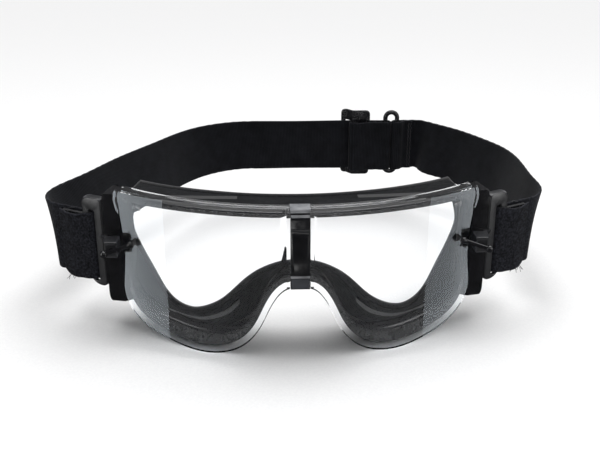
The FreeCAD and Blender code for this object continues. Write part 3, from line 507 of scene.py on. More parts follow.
# %% [markdown]
# ### Rings between outlines
# Rim, gasket, soft frame and face seal are all rings. A ring is a stack of rails:
# each rail is an outline, grown or shrunk a little, wrapped round an upright drum
# of some radius. Joining the rails in order makes the wall, and three rails close
# together at each corner make a rounded edge.

# %% Rails and rings
LENS_CENTRE = 92.6
FACE_CENTRE = 120.0


def rail(loop, grow, radius, centre):
    """An outline wrapped round a drum."""
    flat = grown(loop, grow)
    return np.column_stack([flat[:, 0], centre - np.sqrt(radius ** 2 - flat[:, 0] ** 2), flat[:, 1]])


def rail_faces(rails, count, closed=True):
    """Faces that join each rail of points to the next, and the last to the first if closed."""
    faces = []
    for a in range(rails if closed else rails - 1):
        b = (a + 1) % rails
        faces += [(a * count + i, a * count + (i + 1) % count, b * count + (i + 1) % count, b * count + i)
                  for i in range(count)]
    return faces


def ring(name, rails, finish):
    return make_piece(name, np.concatenate(rails), rail_faces(len(rails), len(rails[0])), finish)


def corner_rails(loop, side, radius, depth, centre, round_mm=0.7):
    """Rails round one long edge; side is +1 for the ring's outer edge, -1 for its inner one,
    and depth is +1 where the drum grows towards the front."""
    made = []
    for turn in (0.0, 0.35, 0.7, 1.0):
        a = turn * math.pi / 2
        sideways_in, inwards = round_mm * (1 - math.sin(a)), round_mm * (1 - math.cos(a))
        made.append(rail(loop, -side * sideways_in, radius - depth * inwards, centre))
    return made


# %% [markdown]
# ## Lens gasket and rim
# Behind the lens lies a thin black gasket, and behind that the polished rim. Both
# follow the lens's outline outside and the opening's outline inside. The rim's
# rounded edges matter more than anything else here: they carry the thin lines of
# light that make it look polished.

# %% Gasket and rim
def box_ring(name, outer, outer_grow, inner, inner_grow, front, back, round_mm, finish):
    """A ring with four rounded edges between two drums."""
    out_loop, in_loop = grown(outer, outer_grow), grown(inner, inner_grow)
    rails = corner_rails(out_loop, 1, front, 1, LENS_CENTRE, round_mm)
    rails += corner_rails(out_loop, 1, back, -1, LENS_CENTRE, round_mm)[::-1]
    rails += corner_rails(in_loop, -1, back, -1, LENS_CENTRE, round_mm)
    rails += corner_rails(in_loop, -1, front, 1, LENS_CENTRE, round_mm)[::-1]
    return ring(name, rails, finish)


gasket = box_ring("lens_gasket_ring", LENS_LOOP, -3.4, OPENING_LOOP, 0.9, 137.9, 137.0, 0.25, RUBBER)
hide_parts("lens_gasket")
rim = box_ring("rim_band", LENS_LOOP, -2.5, OPENING_LOOP, 0.0, 137.0, 129.0, 0.8, POLISHED)
print("rim points:", len(rim.data.vertices))


# %% [markdown]
# The rim's side walls stand outside the lens and carry the outriggers. Seen from
# above each is a small bent block, so it is drawn as a plan and raised, and then
# the bevel modifier rounds every edge at once.

# %% Side walls of the rim
def prism(name, corners, low, high, finish, round_mm, flip, round_far=0.0):
    """A plan in millimetres, raised from low to high; flip makes the left-hand one."""
    sign = -1 if flip else 1
    shape = bmesh.new()
    base = [shape.verts.new((sign * x * MM, y * MM, low * MM)) for x, y in corners]
    floor_face = shape.faces.new(base)
    raised = bmesh.ops.extrude_face_region(shape, geom=[floor_face])
    tops = [v for v in raised["geom"] if isinstance(v, bmesh.types.BMVert)]
    bmesh.ops.translate(shape, verts=tops, vec=(0, 0, (high - low) * MM))
    bmesh.ops.recalc_face_normals(shape, faces=shape.faces)
    if round_far:
        far = max(abs(v.co.x) for v in shape.verts)
        ends = [e for e in shape.edges if all(abs(v.co.x) > far - 1e-5 for v in e.verts)
                and abs(e.verts[0].co.z - e.verts[1].co.z) < 1e-6]
        bmesh.ops.bevel(shape, geom=ends, offset=round_far * MM, segments=6, affect="EDGES", profile=0.5)
    piece = placed(name, stored(shape, bpy.data.meshes.new(name)))
    return soften(dress(piece, finish), round_mm)


CHEEK = [(87.6, -6.1), (92.9, -10.0), (99.9, -8.3), (101.5, -7.7), (101.5, 6.7), (96.5, 6.7), (92.0, 1.5),
         (88.3, -1.5)]
for side in ("right", "left"):
    prism(f"rim_side_wall_{side}", CHEEK, -30.0, 30.5, POLISHED, round_mm=0.9,
          flip=side == "left", round_far=5.0)
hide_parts("front_rim")

# %% [markdown]
# ## Soft frame
# The soft frame is the wall between the rim and the face. It is wider at the back
# than at the front, so the rails pass gradually from the rim's opening to the
# face outline. The four vents are cut afterwards with a boolean, because a hole
# through a curved wall is easier to cut than to draw.

# %% Soft frame and vents
WALL = 2.5


def between(first, last, steps):
    """Rails that pass from one to the other, ends left out."""
    return [first + (last - first) * step / steps for step in range(1, steps)]


def soft_wall():
    front_out = rail(OPENING_LOOP, WALL, 129.0, LENS_CENTRE)
    back_out = rail(FACE_LOOP, -1.0, 131.6, FACE_CENTRE)
    back_in = rail(FACE_LOOP, -1.0 - WALL, 131.6, FACE_CENTRE)
    front_in = rail(OPENING_LOOP, 0.0, 129.0, LENS_CENTRE)
    lip_out = rail(FACE_LOOP, -1.3, 131.0, FACE_CENTRE)
    lip_back = rail(FACE_LOOP, -0.7 - WALL, 131.0, FACE_CENTRE)
    rails = [front_out] + between(front_out, back_out, 7) + [back_out, lip_out, lip_back, back_in]
    rails += between(back_in, front_in, 7) + [front_in]
    return ring("soft_frame_wall", rails, SOFT)


soft = soft_wall()


def cut_box(target, low, high):
    """Cut a box-shaped hole and forget the cutter."""
    shape = bmesh.new()
    bmesh.ops.create_cube(shape, size=1.0)
    for v in shape.verts:
        v.co = Vector([(a + b) / 2 + c * (b - a) for a, b, c in zip(low, high, v.co)])
    cutter = placed("cutter", stored(shape, bpy.data.meshes.new("cutter")))
    cut = target.modifiers.new("hole", "BOOLEAN")
    cut.operation, cut.object, cut.solver = "DIFFERENCE", cutter, "EXACT"
    result = evaluated(target)
    target.modifiers.clear()
    target.data = result
    bpy.data.objects.remove(cutter)


for level in ("top", "bottom"):
    for side in ("right", "left"):
        low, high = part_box(f"vent_filter_{level}_{side}")
        cut_box(soft, low - Vector((0.0001, 0.0001, 0.001)), high + Vector((0.0001, 0.0001, 0.001)))
        give(f"vent_filter_{level}_{side}", VENT_FOAM)
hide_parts("soft_frame")
print("soft frame faces:", len(soft.data.polygons))

# %% [markdown]
# ## Face seal
# What touches the face is a foam cushion. It is a crowned band: its edges curl
# under and its middle swells towards the wearer, and along its length it rises
# and sinks a little, as foam cut by hand does. Rails along a half-oval section
# give the crown, and a slow wave moves them.

# %% Face seal cushion
SEAL_WIDTH = 6.0


def face_cushion():
    rails = []
    around = np.linspace(0, 2 * math.pi, len(FACE_LOOP), endpoint=False)
    swell = 0.12 * np.sin(23 * around) + 0.1 * np.sin(9 * around + 1.0)
    for step in range(20):
        a = step / 20 * 2 * math.pi
        across = SEAL_WIDTH / 2 * (1 - abs(math.cos(a)) ** 0.7 * math.copysign(1, math.cos(a)))
        rise = abs(math.sin(a)) ** 0.7 * math.copysign(1, math.sin(a))
        depth = 129.6 - rise * 1.45
        line = rail(FACE_LOOP, -across, depth, FACE_CENTRE)
        if rise > 0:
            line[:, 1] += swell * rise
        rails.append(line)
    piece = ring("face_seal_cushion", rails, SEAL_FOAM)
    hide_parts("face_foam")
    return piece


face_cushion()

# %% [markdown]
# ## Lens
# The lens keeps its designed shape: the bent sheet, the ledge along its top, the
# two ribs beside the clip and the slot for the clip's foot are all one moulding.
# It casts no shadow, because a clear sheet would otherwise darken what is behind.
# Small clear hooks at its top corners and two locating lugs are added to it.

# %% Lens, hooks and lugs
give("lens", CLEAR)
frame["nodes"]["lens"].visible_shadow = False


def slab_faces(count):
    """Faces of a slab: an outline, the same outline again, and the wall between them."""
    faces = [tuple(range(count)), tuple(range(2 * count - 1, count - 1, -1))]
    return faces + [(i, i + count, (i + 1) % count + count, (i + 1) % count) for i in range(count)]


def bent_tile(name, outline, front, back, flip, finish):
    """A small outline (x, z) on the lens, as thick as two drums are apart."""
    sign = -1 if flip else 1
    points = []
    for radius in (front, back):
        points += [(sign * x, LENS_CENTRE - math.sqrt(radius ** 2 - x * x), z) for x, z in outline]
    return soften(make_piece(name, points, slab_faces(len(outline)), finish), 0.35)


HOOK = [(92.0, 32.6), (93.4, 33.6), (94.9, 31.4), (95.2, 27.0), (94.4, 23.0), (92.3, 20.6), (92.0, 22.5),
        (93.1, 25.0), (93.4, 28.0), (92.9, 30.4)]
LUG = [(79.4, 25.8), (82.8, 26.0), (83.3, 26.5), (83.2, 27.6), (82.7, 28.0), (79.5, 27.8), (79.0, 27.4),
       (79.0, 26.3)]
for side in ("right", "left"):
    for name, outline, front, back in (("lens_hook", HOOK, 140.0, 137.9), ("lens_lug", LUG, 140.8, 140.22)):
        tile = bent_tile(f"{name}_{side}", outline, front, back, side == "left", CLEAR)
        tile.visible_shadow = False

# %% [markdown]
# ## Centre clip
# The clip is a bar down the middle of the lens. It hooks over the rim on a pin,
# and its foot snaps under the lens. From the side it is one profile, so it is
# drawn from the side and given its width; the grained thumb plate, the polished
# face and the foot's ledge are laid on as pieces of their own. The plate and the
# ledge are painted light grey for the light on them, and the foot block is
# painted blue-grey for its reflection.

# %% Centre clip
def side_block(name, profile, half_width, finish, round_mm=0.4, top_half=None):
    """A side profile (y, z), as wide as twice half_width, or wider at its top end."""
    high = max(z for _, z in profile)
    low = min(z for _, z in profile)
    points = []
    for sign in (-1, 1):
        for y, z in profile:
            share = (z - low) / (high - low)
            reach = half_width + ((top_half or half_width) - half_width) * share
            points.append((sign * reach, y, z))
    return soften(make_piece(name, points, slab_faces(len(profile)), finish, "clip"), round_mm)


CLIP_FRONT = -51.1
LENS_FACE = -47.9
CLIP_BACK = -44.7
PIVOT = -38.5


def set_back(start, profile):
    """A profile whose depths count from a plane."""
    return [(start + y, z) for y, z in profile]


bar_profile = set_back(CLIP_FRONT, [(0.5, 0.0), (0.5, 24.0), (1.1, 24.6), (1.1, 29.6), (0.4, 30.4),
                                    (0.4, 32.6), (1.4, 34.2)])
bar_profile += set_back(PIVOT, [(-2.4, 34.3), (-1.6, 32.5), (0.2, 31.6), (0.6, 31.2), (0.6, 29.4),
                                (-1.7, 29.4), (-2.7, 32.1)])
bar_profile += [(LENS_FACE, 32.1), (LENS_FACE, 0.2)]
bar_profile += set_back(CLIP_BACK, [(0.0, 0.2), (0.0, -5.5), (-1.0, -6.5)])
bar_profile += set_back(CLIP_FRONT, [(1.4, -6.5), (1.4, 0.0)])
clip = side_block("clip_bar", bar_profile, 4.8, POLISHED)
face_profile = set_back(CLIP_FRONT, [(0.8, 0.8), (0.0, 1.6), (0.0, 22.4), (0.8, 23.6)])
side_block("clip_polished_face", face_profile, 3.2, POLISHED, 0.35, 4.1)
plate_profile = set_back(CLIP_FRONT, [(0.5, 30.6), (0.1, 31.4), (1.2, 34.5)])
plate_profile += set_back(PIVOT, [(-2.2, 34.6), (-2.2, 34.0)]) + set_back(CLIP_FRONT, [(2.2, 33.4)])
# The thumb plate's light grey is painted light falling on its top.
side_block("clip_thumb_plate", plate_profile, 4.3, PAINTED_LIGHT_GRIP, 0.25, 5.0)
foot_profile = set_back(CLIP_FRONT, [(2.2, -0.2), (1.3, -0.8), (0.7, -5.2), (1.6, -6.2), (2.6, -6.2)])
# The foot block's blue-grey is a painted reflection.
side_block("clip_foot_block", foot_profile, 4.4, FOOT_PAINTED_REFLECTION, 0.3)
ledge_profile = set_back(CLIP_FRONT, [(0.9, -0.4), (0.1, 0.1), (0.1, 0.9), (0.9, 1.3)])
# The foot ledge's light grey is a painted highlight along the foot's step edge.
side_block("clip_foot_ledge", ledge_profile, 4.7, PAINTED_LIGHT_GRIP, 0.2)
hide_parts("centre_clip")
give("centre_clip_pin", STEEL)

# %% [markdown]
# ## Toggles and their forks
# Each side has a small turning toggle: a stem, a slanted bar and a ball at each
# end. The designed toggle already has the right shape and only needs its finish.
# The fork that carries it is rebuilt with rounded edges, two jaws beside the bar
# and a thin gusset that props it against the side wall.

# %% Toggle forks
BLOCK = [(93.1, -19.2), (99.4, -19.2), (100.6, -16.5), (100.9, -9.0), (93.1, -9.0)]
JAW = [(93.0, -19.35), (94.6, -19.35), (98.6, -19.35), (99.3, -19.35), (99.5, -18.0), (93.1, -18.0)]
GUSSET = [(99.2, -12.0), (100.3, -12.5), (104.3, -5.6), (103.5, -4.6), (99.6, -6.0)]
for side in ("right", "left"):
    flip = side == "left"
    fork = prism(f"toggle_fork_{side}", BLOCK, -0.9, 7.7, SATIN, 0.7, flip)
    for name, low, high in (("upper", 6.0, 7.6), ("lower", -0.8, 0.8)):
        prism(f"toggle_fork_{name}_jaw_{side}", JAW, low, high, SATIN, 0.4, flip)
    prism(f"toggle_gusset_{side}", GUSSET, 5.6, 7.4, SATIN, 0.4, flip)
    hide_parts(f"toggle_post_{side}")
    give(f"toggle_{side}", POLISHED)
    give(f"toggle_washer_{side}", STEEL)

# %% [markdown]
# ## Outriggers
# An outrigger is a swept-back plate with a slot for the strap and a rolled lip
# along its top. A flat curve with a hole in it can be given thickness and a round
# edge in one go, so the plate is drawn flat, filled, turned into a mesh and then
# stood up on its own slanted plane.

# %% A flat plate with holes and round edges
CORNER_STEPS = 6


def rounded_corners(corners, radius):
    """A closed outline whose corners are replaced by arcs."""
    made = []
    count = len(corners)
    for i in range(count):
        before, here, after = (Vector(corners[(i + k) % count]) for k in (-1, 0, 1))
        one, two = (before - here).normalized(), (after - here).normalized()
        reach = min(radius, (before - here).length * 0.45, (after - here).length * 0.45)
        for step in range(CORNER_STEPS + 1):
            t = step / CORNER_STEPS
            spot = here + one * reach * (1 - t) ** 2 + two * reach * t ** 2
            made.append((spot.x, spot.y))
    return made


def add_line(curve, spots):
    """Add straight lines through points in millimetres, flat or in space."""
    spline = curve.splines.new("POLY")
    spline.points.add(len(spots) - 1)
    for place, spot in zip(spline.points, spots):
        place.co = (*(float(c) * MM for c in spot), *[0.0] * (3 - len(spot)), 1.0)
    return spline


def solid_curve(curve):
    """The mesh that a thick curve makes."""
    holder = placed(curve.name + "_line", curve)
    mesh = evaluated(holder)
    bpy.data.objects.remove(holder)
    return mesh


def flat_plate(name, outlines, thickness, edge):
    """A filled flat shape as a mesh in metres, x and y across it, z through it."""
    curve = bpy.data.curves.new(name, "CURVE")
    curve.dimensions = "2D"
    curve.fill_mode = "BOTH"
    curve.extrude = (thickness / 2 - edge) * MM
    curve.bevel_depth = edge * MM
    curve.bevel_resolution = 2
    curve.offset = -edge * MM
    for outline in outlines:
        add_line(curve, outline).use_cyclic_u = True
    mesh = solid_curve(curve)
    shape = bmesh.new()
    shape.from_mesh(mesh)
    bmesh.ops.remove_doubles(shape, verts=shape.verts, dist=2e-6)
    bmesh.ops.recalc_face_normals(shape, faces=shape.faces)
    return stored(shape, mesh)


# %% Outriggers
SWEEP = math.radians(29.0)
ROOT = Vector((101.5, -6.2))
ALONG = Vector((math.cos(SWEEP), math.sin(SWEEP)))
BEHIND = Vector((-math.sin(SWEEP), math.cos(SWEEP)))


def stand_up(mesh, flip):
    """Stand a flat plate on the outrigger's slanted plane."""
    place = Matrix(((ALONG.x, 0, BEHIND.x, ROOT.x * MM), (ALONG.y, 0, BEHIND.y, ROOT.y * MM),
                    (0, 1, 0, 0), (0, 0, 0, 1)))
    mesh.transform(place)
    if flip:
        mesh.transform(Matrix.Scale(-1, 4, (1, 0, 0)))
    mesh.flip_normals()
    return mesh


def outrigger(side):
    flip = side == "left"
    outer = [(0.4, 27.0), (10.6, 27.0), (13.2, 24.5), (13.2, -17.0), (7.5, -22.5), (0.4, -22.5)]
    slot = [(5.4, 20.1), (8.6, 20.1), (8.6, -20.1), (5.4, -20.1)]
    outlines = [rounded_corners(outer, 3.2), rounded_corners(slot, 1.2)]
    shape = flat_plate(f"outrigger_plate_{side}", outlines, 2.4, 0.55)
    plate = dress(placed(f"outrigger_plate_{side}", stand_up(shape, flip)), SATIN)
    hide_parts(f"outrigger_{side}")
    lip = []
    for distance in np.linspace(0.4, 11.8, 9):
        for turn in range(10):
            a = turn / 10 * 2 * math.pi
            spot = ROOT + ALONG * distance + BEHIND * (1.9 + 3.0 * math.cos(a))
            lip.append((-spot.x if flip else spot.x, spot.y, 26.1 + 0.95 * math.sin(a)))
    faces = rail_faces(9, 10, closed=False) + [tuple(range(10)), tuple(range(89, 79, -1))]
    make_piece(f"outrigger_lip_{side}", lip, faces, SATIN, sharp=60.0)
    return plate


for side in ("right", "left"):
    plate = outrigger(side)
    give(f"hook_patch_{side}", HOOKS)
print("outrigger plate points:", len(plate.data.vertices))

# %% [markdown]
# ## Head strap
# The strap is drawn from above as one long line: the loose end, the turn round
# the outrigger's bar, the run round the head and the turn round the oval ring at
# the back. Its lower edge leans in towards the head, so there are two such lines,
# and the webbing is what lies between them. A band is swept along both at once,
# with a rounded edge, and carries its weave map in millimetres.

# %% Sweep webbing between two lines
STRAP_WIDTH = 38.0
STRAP_WALL = 1.6
RISE = math.radians(0.95)
EDGE_ROWS = [0.0, 0.25, 0.7, 1.4, 3.0, 6.5, 11.0, 15.0]


def tipped(points):
    """Strap pieces climb a little towards the back of the head."""
    x, y, z = np.array(points, float).T
    turned_y = y * math.cos(RISE) - z * math.sin(RISE)
    return np.column_stack([x, turned_y, y * math.sin(RISE) + z * math.cos(RISE)])


def row_heights():
    low = [d - STRAP_WIDTH / 2 for d in EDGE_ROWS]
    return np.array(low + [0.0] + [-z for z in low[::-1]])


def sideways(line):
    """Unit vectors across a plan line, to the left of its direction."""
    ahead = np.gradient(line, axis=0)
    ahead /= np.linalg.norm(ahead, axis=1)[:, None]
    return np.column_stack([-ahead[:, 1], ahead[:, 0]])


def webbing_band(name, low_line, high_line, finish, body="frame", flip=False, bulge=None, trim=None):
    """Webbing between the plan line of its lower edge and that of its upper edge; bulge lifts it off
    that line and trim moves its edges up or down, both by length along it and height."""
    heights = row_heights()
    low_side, high_side = sideways(low_line), sideways(high_line)
    middle = (low_line + high_line) / 2
    lengths = np.concatenate([[0], np.cumsum(np.linalg.norm(np.diff(middle, axis=0), axis=1))])
    count, rows = len(low_line), len(heights)
    points, marks = [], []
    for i in range(count):
        for face in (1, -1):
            for j in (range(rows) if face > 0 else range(rows - 1, -1, -1)):
                share = heights[j] / STRAP_WIDTH + 0.5
                from_edge = STRAP_WIDTH / 2 - abs(heights[j])
                half = STRAP_WALL / 2 * math.sqrt(max(0.06, 1 - max(0.0, 1 - from_edge / 0.8) ** 2))
                spot = low_line[i] * (1 - share) + high_line[i] * share
                across = low_side[i] * (1 - share) + high_side[i] * share
                lift = bulge(lengths[i], heights[j]) if bulge else 0.0
                spot = spot + across * (face * half + lift)
                side = 1 if share > 0.5 else -1
                waver = 0.12 * side * math.sin(lengths[i] * 0.9) if from_edge < 1 else 0.0
                waver += trim(lengths[i], heights[j]) if trim else 0.0
                points.append((-spot[0] if flip else spot[0], spot[1], heights[j] + waver))
                marks.append((lengths[i], heights[j] + face * 60.0))
    loop = 2 * rows
    faces = rail_faces(count, loop, closed=False)
    for first in (0, (count - 1) * loop):
        last = first + loop - 1
        faces += [(first + j, first + j + 1, last - j - 1, last - j) for j in range(rows - 1)]
    weave = [marks[v] for face in faces for v in face]
    return make_piece(name, tipped(points), faces, finish, body, weave, sharp=70.0)


# %% The strap's line, seen from above
FOLD_REACH = 2.3
LOOSE_LENGTH = 18.0
STRAP_SIDE = 138.5
STRAP_BACK = 199.0
LEAN = 9.0
RING_X, RING_ROD, RING_BEND = 79.8, 1.7, 4.5
RING_Y = STRAP_BACK - 0.8 - 0.3 - 0.7 - RING_ROD
RING_REACH = RING_ROD + 0.7 + 0.3 + 0.8
LOOP_STRETCH = 1.09
ROUTES = {"right": [(1.015, 0.13), (1.035, 0.25), (1.055, 0.42), (1.045, 0.58), (0.985, 0.71), (0.90, 0.84),
                    (0.79, 0.955)],
          "left": [(1.005, 0.13), (0.935, 0.30), (0.825, 0.49), (0.675, 0.70), (0.485, 0.915)]}


def straight(start, end, steps):
    start, end = np.array(start, float), np.array(end, float)
    return [start + (end - start) * step / steps for step in range(steps)]


def arc(centre, radius, first, sweep, steps, stretch=1.0):
    made = []
    for step in range(steps + 1):
        a = math.radians(first + sweep * step / steps)
        made.append(np.array(centre) + radius * np.array([math.cos(a) * stretch, math.sin(a)]))
    return made


def strap_line(side, lean):
    """From the loose end, round the outrigger's bar and the head, to the oval ring."""
    along = np.array(ALONG)
    centre = np.array(ROOT) + along * 8.9
    fold = arc(centre, FOLD_REACH, 29.0 - 90.0, -180.0, 12)
    line = straight(fold[0] + along * LOOSE_LENGTH, fold[0], 14) + fold[:-1]
    side_start = fold[-1] + along * 20.0
    line += straight(fold[-1], side_start, 10)
    wide = STRAP_SIDE - lean
    level = np.array([RING_X + 1.35 * 12.4 if side == "right" else wide * 0.2, STRAP_BACK])
    route = [side_start, side_start + along * 6.4]
    route += [np.array([wide * a, STRAP_BACK * b]) for a, b in ROUTES[side]]
    line += list(smooth(route + [level + np.array([3.2, 0.0]), level], 14))[:-1]
    rod_x = RING_X + RING_BEND if side == "right" else -(RING_X - RING_BEND)
    turn = arc((rod_x, RING_Y), RING_REACH, 90.0, 180.0 if side == "right" else 90.0, 12, LOOP_STRETCH)
    line += straight(level, turn[0], 16 if side == "left" else 4) + turn
    if side == "right":
        end = np.array([turn[-1][0] + 12.4, STRAP_BACK - 1.9])
        sewn = end - np.array([5.0, 0.0])
        line += list(smooth([turn[-1], turn[-1] + [0.8, 0.0], sewn - [0.8, 0.0], sewn], 4))[1:]
        line += straight(sewn, end, 4)[1:] + [end]
    return np.array(line)


# %% [markdown]
# The loose end is the part that shows most from the front. It doesn't lie dead
# flat: the cloth springs away from the layer behind it, most at the middle of its
# length, and its cut edge flares. That swell is added while the band is swept.

# %% Both head straps
def loose_end(length, height):
    """How far the loose end springs forward, at a distance from its cut edge."""
    if length > LOOSE_LENGTH:
        return 0.0
    share = length / LOOSE_LENGTH
    return 1.5 * math.sin(math.pi * share) * (1 - 0.25 * math.cos(height * 0.16)) + 0.6 * (1 - share) ** 4


def trimmed(length, height):
    """The loose end's upper edge sags between its ends, and its lower corner is cut round."""
    if length > LOOSE_LENGTH:
        return 0.0
    if height > 0:
        return -1.3 * math.sin(math.pi * length / LOOSE_LENGTH) * (2 * height / STRAP_WIDTH) ** 2
    return 3.4 * max(0.0, 1 - length / 6.0) ** 2 * (2 * height / STRAP_WIDTH) ** 2


for side in ("right", "left"):
    strap = webbing_band(f"head_strap_{side}", strap_line(side, LEAN), strap_line(side, 0.0), PILE_ELASTIC,
                         flip=side == "left", bulge=loose_end, trim=trimmed)
    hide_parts(f"strap_{side}")
    print(strap.name, "points:", len(strap.data.vertices))


# %% [markdown]
# ## Slider, oval ring and the layer between
# At the back, the strap comes round the oval ring and returns through a slider,
# which sets its length. The return layer is fixed at the ring and held by the
# slider, so when the slider moves, the layer stretches between them; here it is
# built in place and rides on no body. It swells over the slider's bars, because
# webbing doesn't crease sharply.

# %% Return layer
SLIDER_X = 52.4
BAR_Y = 194.9


def return_line():
    turn = arc((RING_X - RING_BEND, RING_Y), RING_REACH, 0.0, -90.0, 8, LOOP_STRETCH)
    first = np.array([SLIDER_X - 1.7 + 0.55, BAR_Y - 2.2])
    over = first + np.array([14.2, 0.0])
    line = turn + list(smooth([turn[-1], turn[-1] - [1.6, 0.0], over + [1.6, 0.0], over], 6))[1:-1]
    line += straight(over, first, 14)
    line += arc((first[0], BAR_Y), 2.2, 270.0, -180.0, 12)
    tail = line[-1] + np.array([3.4, 0.0])
    return np.array(line + straight(line[-1], tail, 3)[1:] + [tail])


layer_line = return_line()
hump = webbing_band("return_layer", layer_line, layer_line, ELASTIC, None,
                    bulge=lambda length, height: 2.3 * math.sin((length - 18.5) / 17.0 * math.pi) ** 0.8
                    if 18.5 < length < 35.5 else 0.0)
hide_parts("strap_return")
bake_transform(hump)


# %% Slider
def slider_frame():
    """Three bars, stepped so that the running strap stays straight behind two of them."""
    x0, x1 = SLIDER_X - 10.8, SLIDER_X + 10.8
    z0, z1 = 2.4 - 25.25, 2.4 + 25.25
    outer = rounded_corners([(x0, z1), (x1, z1), (x1, z0), (x0, z0)], 3.4)
    holes = []
    for start in (SLIDER_X - 7.4, SLIDER_X + 1.7):
        end = start + 5.7
        holes.append(rounded_corners([(start, 19.6), (end, 19.6), (end, -19.3), (start, -19.3)], 0.9))
    mesh = flat_plate("slider_frame", [outer] + holes, 2.2, 0.5)
    shape = bmesh.new()
    shape.from_mesh(mesh)
    for x in np.linspace(SLIDER_X - 7.6, SLIDER_X - 1.6, 7):
        bmesh.ops.bisect_plane(shape, geom=shape.verts[:] + shape.edges[:] + shape.faces[:],
                               plane_co=(x * MM, 0, 0), plane_no=(1, 0, 0))
    for v in shape.verts:
        share = min(1.0, max(0.0, (v.co.x / MM - (SLIDER_X - 7.3)) / 5.5))
        share = share * share * (3 - 2 * share)
        x, z, through = v.co
        v.co = (x, (201.2 + (BAR_Y - 201.2) * share) * MM + through, z)
    for v in shape.verts:
        y, z = v.co.y, v.co.z
        v.co.y, v.co.z = y * math.cos(RISE) - z * math.sin(RISE), y * math.sin(RISE) + z * math.cos(RISE)
    bmesh.ops.recalc_face_normals(shape, faces=shape.faces)
    piece = dress(placed("slider_frame", stored(shape, mesh)), BUCKLE, "adjuster_slider")
    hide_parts("slider")


slider_frame()
give("oval_ring", BUCKLE)

# %% [markdown]
# ## Stitches and loose threads
# The loop round the ring is closed by two rows of zigzag stitches, and the cut
# ends of the strap have shed a few threads. Both are made as short curves with a
# round section, joined into one mesh, because a stitch is a bit of thread that
# dives into the cloth at both ends.

# %% Threads
def threads(name, paths, radius):
    """Several short threads as one mesh; each path is a list of points in millimetres."""
    curve = bpy.data.curves.new(name, "CURVE")
    curve.dimensions = "3D"
    curve.bevel_depth = radius * MM
    curve.bevel_resolution = 2
    curve.use_fill_caps = True
    for path in paths:
        add_line(curve, path)
    return dress(placed(name, solid_curve(curve)), THREAD)


STITCH_STEP = 1.7


def zigzag(x, y):
    """A row of slanted stitches down the strap."""
    paths = []
    for number, z in enumerate(np.arange(-17.2, 16.4, STITCH_STEP)):
        lean = 0.55 if number % 2 else -0.55
        spots = []
        for share in (0.0, 0.25, 0.5, 0.75, 1.0):
            dive = 0.42 - 0.62 * math.sin(math.pi * share)
            spots.append((x + lean * (2 * share - 1), y + dive, z + STITCH_STEP * share))
        paths.append(tipped(spots))
    return paths


stitches = threads("ring_loop_stitches", zigzag(95.4, 196.0) + zigzag(93.6, 196.0), 0.2)
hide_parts("ring_loop_stitching")


def frayed(side, count):
    """Threads shed by the corners of a loose end."""
    sign = 1 if side == "right" else -1
    edge = np.array(ROOT) + np.array(ALONG) * 26.6 - np.array(BEHIND) * 2.3
    paths = []
    for _ in range(count):
        height = random.uniform(-19.3, -17.0) if random.random() < 0.6 else random.uniform(17.0, 19.2)
        spot = np.array([edge[0] - random.uniform(0, 9) * ALONG.x, edge[1] - random.uniform(-0.4, 0.4),
                         height])
        heading = np.array([random.uniform(-0.2, 1.0), random.uniform(-0.6, 0.2),
                            -0.9 if height < 0 else 0.5])
        path = [spot]
        for _ in range(6):
            heading = heading + np.array([random.uniform(-0.45, 0.45), random.uniform(-0.3, 0.3), -0.12])
            path.append(path[-1] + heading / np.linalg.norm(heading) * random.uniform(0.4, 0.95))
        paths.append([(sign * p[0], p[1], p[2]) for p in path])
    return threads(f"frayed_threads_{side}", paths, 0.11)


for side, count in (("right", 12), ("left", 14)):
    frayed(side, count)

# %% [markdown]
# ## Studio
# The goggles stand on pale paper under soft light. A wide ceiling and a large
# softbox above give the even light, and a smaller softbox in front lifts the black
# parts. The cards are there only for reflections: two beside the lens, a strip for
# the clip and two at the sides for the edges of the hard parts.

# %% Floor
def studio_floor():
    low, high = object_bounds()
    mesh = bpy.data.meshes.new("studio_floor")
    reach = 6.0
    corners = [(-reach, -reach), (reach, -reach), (reach, reach), (-reach, reach)]
    mesh.from_pydata([(x, y, low.z) for x, y in corners], [], [(0, 1, 2, 3)])
    piece = placed("studio_floor", mesh)
    made, tree, shader = new_finish("pale_paper", Roughness=0.9, Specular_IOR_Level=0.1)
    colour = tones(tree, speckle(tree, 1.2), (0.86, 0.86, 0.865), (0.9, 0.9, 0.9))
    tree.links.new(colour, shader.inputs["Base Color"])
    mesh.materials.append(made)
    piece.visible_glossy = False
    piece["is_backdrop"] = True


studio_floor()


# %% Lights
def softbox(name, place, aim, width, height, power):
    light = bpy.data.lights.new(name, "AREA")
    light.shape, light.size, light.size_y, light.energy = "RECTANGLE", width, height, power
    lamp = placed(name, light)
    lamp.location = place
    lamp.rotation_euler = (Vector(aim) - Vector(place)).to_track_quat("-Z", "Y").to_euler()
    lamp.visible_camera = False
    return lamp


def group(name, prefixes):
    """A collection of the pieces whose names begin with one of these."""
    made = bpy.data.collections.new(name)
    for piece in bpy.data.objects:
        if piece.name.startswith(prefixes):
            made.objects.link(piece)
    return made


REFLECTION_ONLY = ("diffuse", "transmission", "volume_scatter")


def card(name, place, aim, width, height, power, pieces, unseen=REFLECTION_ONLY):
    """A lit card that only these pieces mirror."""
    lamp = softbox(name, place, aim, width, height, power)
    for kind in unseen:
        setattr(lamp, f"visible_{kind}", False)
    lamp.data.use_shadow = False
    lamp.light_linking.receiver_collection = pieces
    return lamp


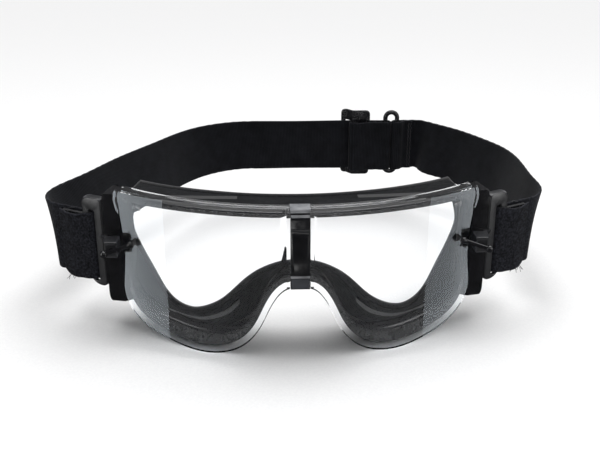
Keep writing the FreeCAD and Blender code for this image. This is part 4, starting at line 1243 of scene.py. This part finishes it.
softbox("overhead_softbox", (0.0, 0.1, 0.9), (0.0, 0.05, 0.0), 0.9, 0.6, 1.8)
softbox("front_softbox", (0.3, -0.9, 0.6), (0.0, 0.0, 0.0), 0.5, 0.4, 1.6)
clear_pieces = group("clear_pieces", ("lens_hook", "lens_lug"))
clear_pieces.objects.link(frame["nodes"]["lens"])
for sign, power in ((-1, 0.17), (1, 0.11)):
    side_card = card(f"reflection_card_{sign}", (sign * 0.125, -0.030, -0.015), (sign * 0.05, -0.030, -0.015),
                     0.054, 0.15, power, clear_pieces)
    side_card.data.color = (0.84, 0.93, 1.0)
card("clip_highlight_card", (-0.0045, -0.24, -0.052), (-0.0035, -0.051, 0.014), 0.0032, 0.020, 0.006,
     group("clip_pieces", "clip_"))
hard_pieces = group("hard_pieces", ("rim_", "toggle_", "outrigger_", "clip_", "slider_frame", "oval_ring"))
for sign in (-1, 1):
    card(f"edge_card_{sign}", (sign * 0.55, -0.22, 0.12), (0.0, 0.0, 0.0), 0.22, 0.5, 1.5, hard_pieces,
         ("diffuse",))
ceiling = bpy.data.lights.new("bright_ceiling", "SUN")
ceiling.energy, ceiling.angle = 3.15, math.radians(75.0)
placed("bright_ceiling", ceiling).rotation_euler = (math.radians(-14.0), math.radians(8.0), 0.0)

world = bpy.data.worlds.new("white_studio")
world.use_nodes = True
sky = world.node_tree.nodes["Background"].inputs
sky["Color"].default_value, sky["Strength"].default_value = (1.0, 1.0, 1.0, 1.0), 0.08
bpy.context.scene.world = world
bpy.context.scene.view_settings.view_transform = "Standard"

# %% Camera
AIM = Vector((0.00173, 0.0, 0.00886))
LOOK_ROUND, LOOK_DOWN, DISTANCE = math.radians(-2.24), math.radians(20.0), 0.4188
camera = placed("camera", bpy.data.cameras.new("camera"))
level = math.cos(LOOK_DOWN)
away = Vector((math.sin(LOOK_ROUND) * level, -math.cos(LOOK_ROUND) * level, math.sin(LOOK_DOWN)))
camera.location = AIM + away * DISTANCE
camera.rotation_euler = (-away).to_track_quat("-Z", "Y").to_euler()
camera.data.sensor_width = 36.0
camera.data.lens = 46.62
camera.data.clip_start = 0.01
bpy.context.scene.camera = camera
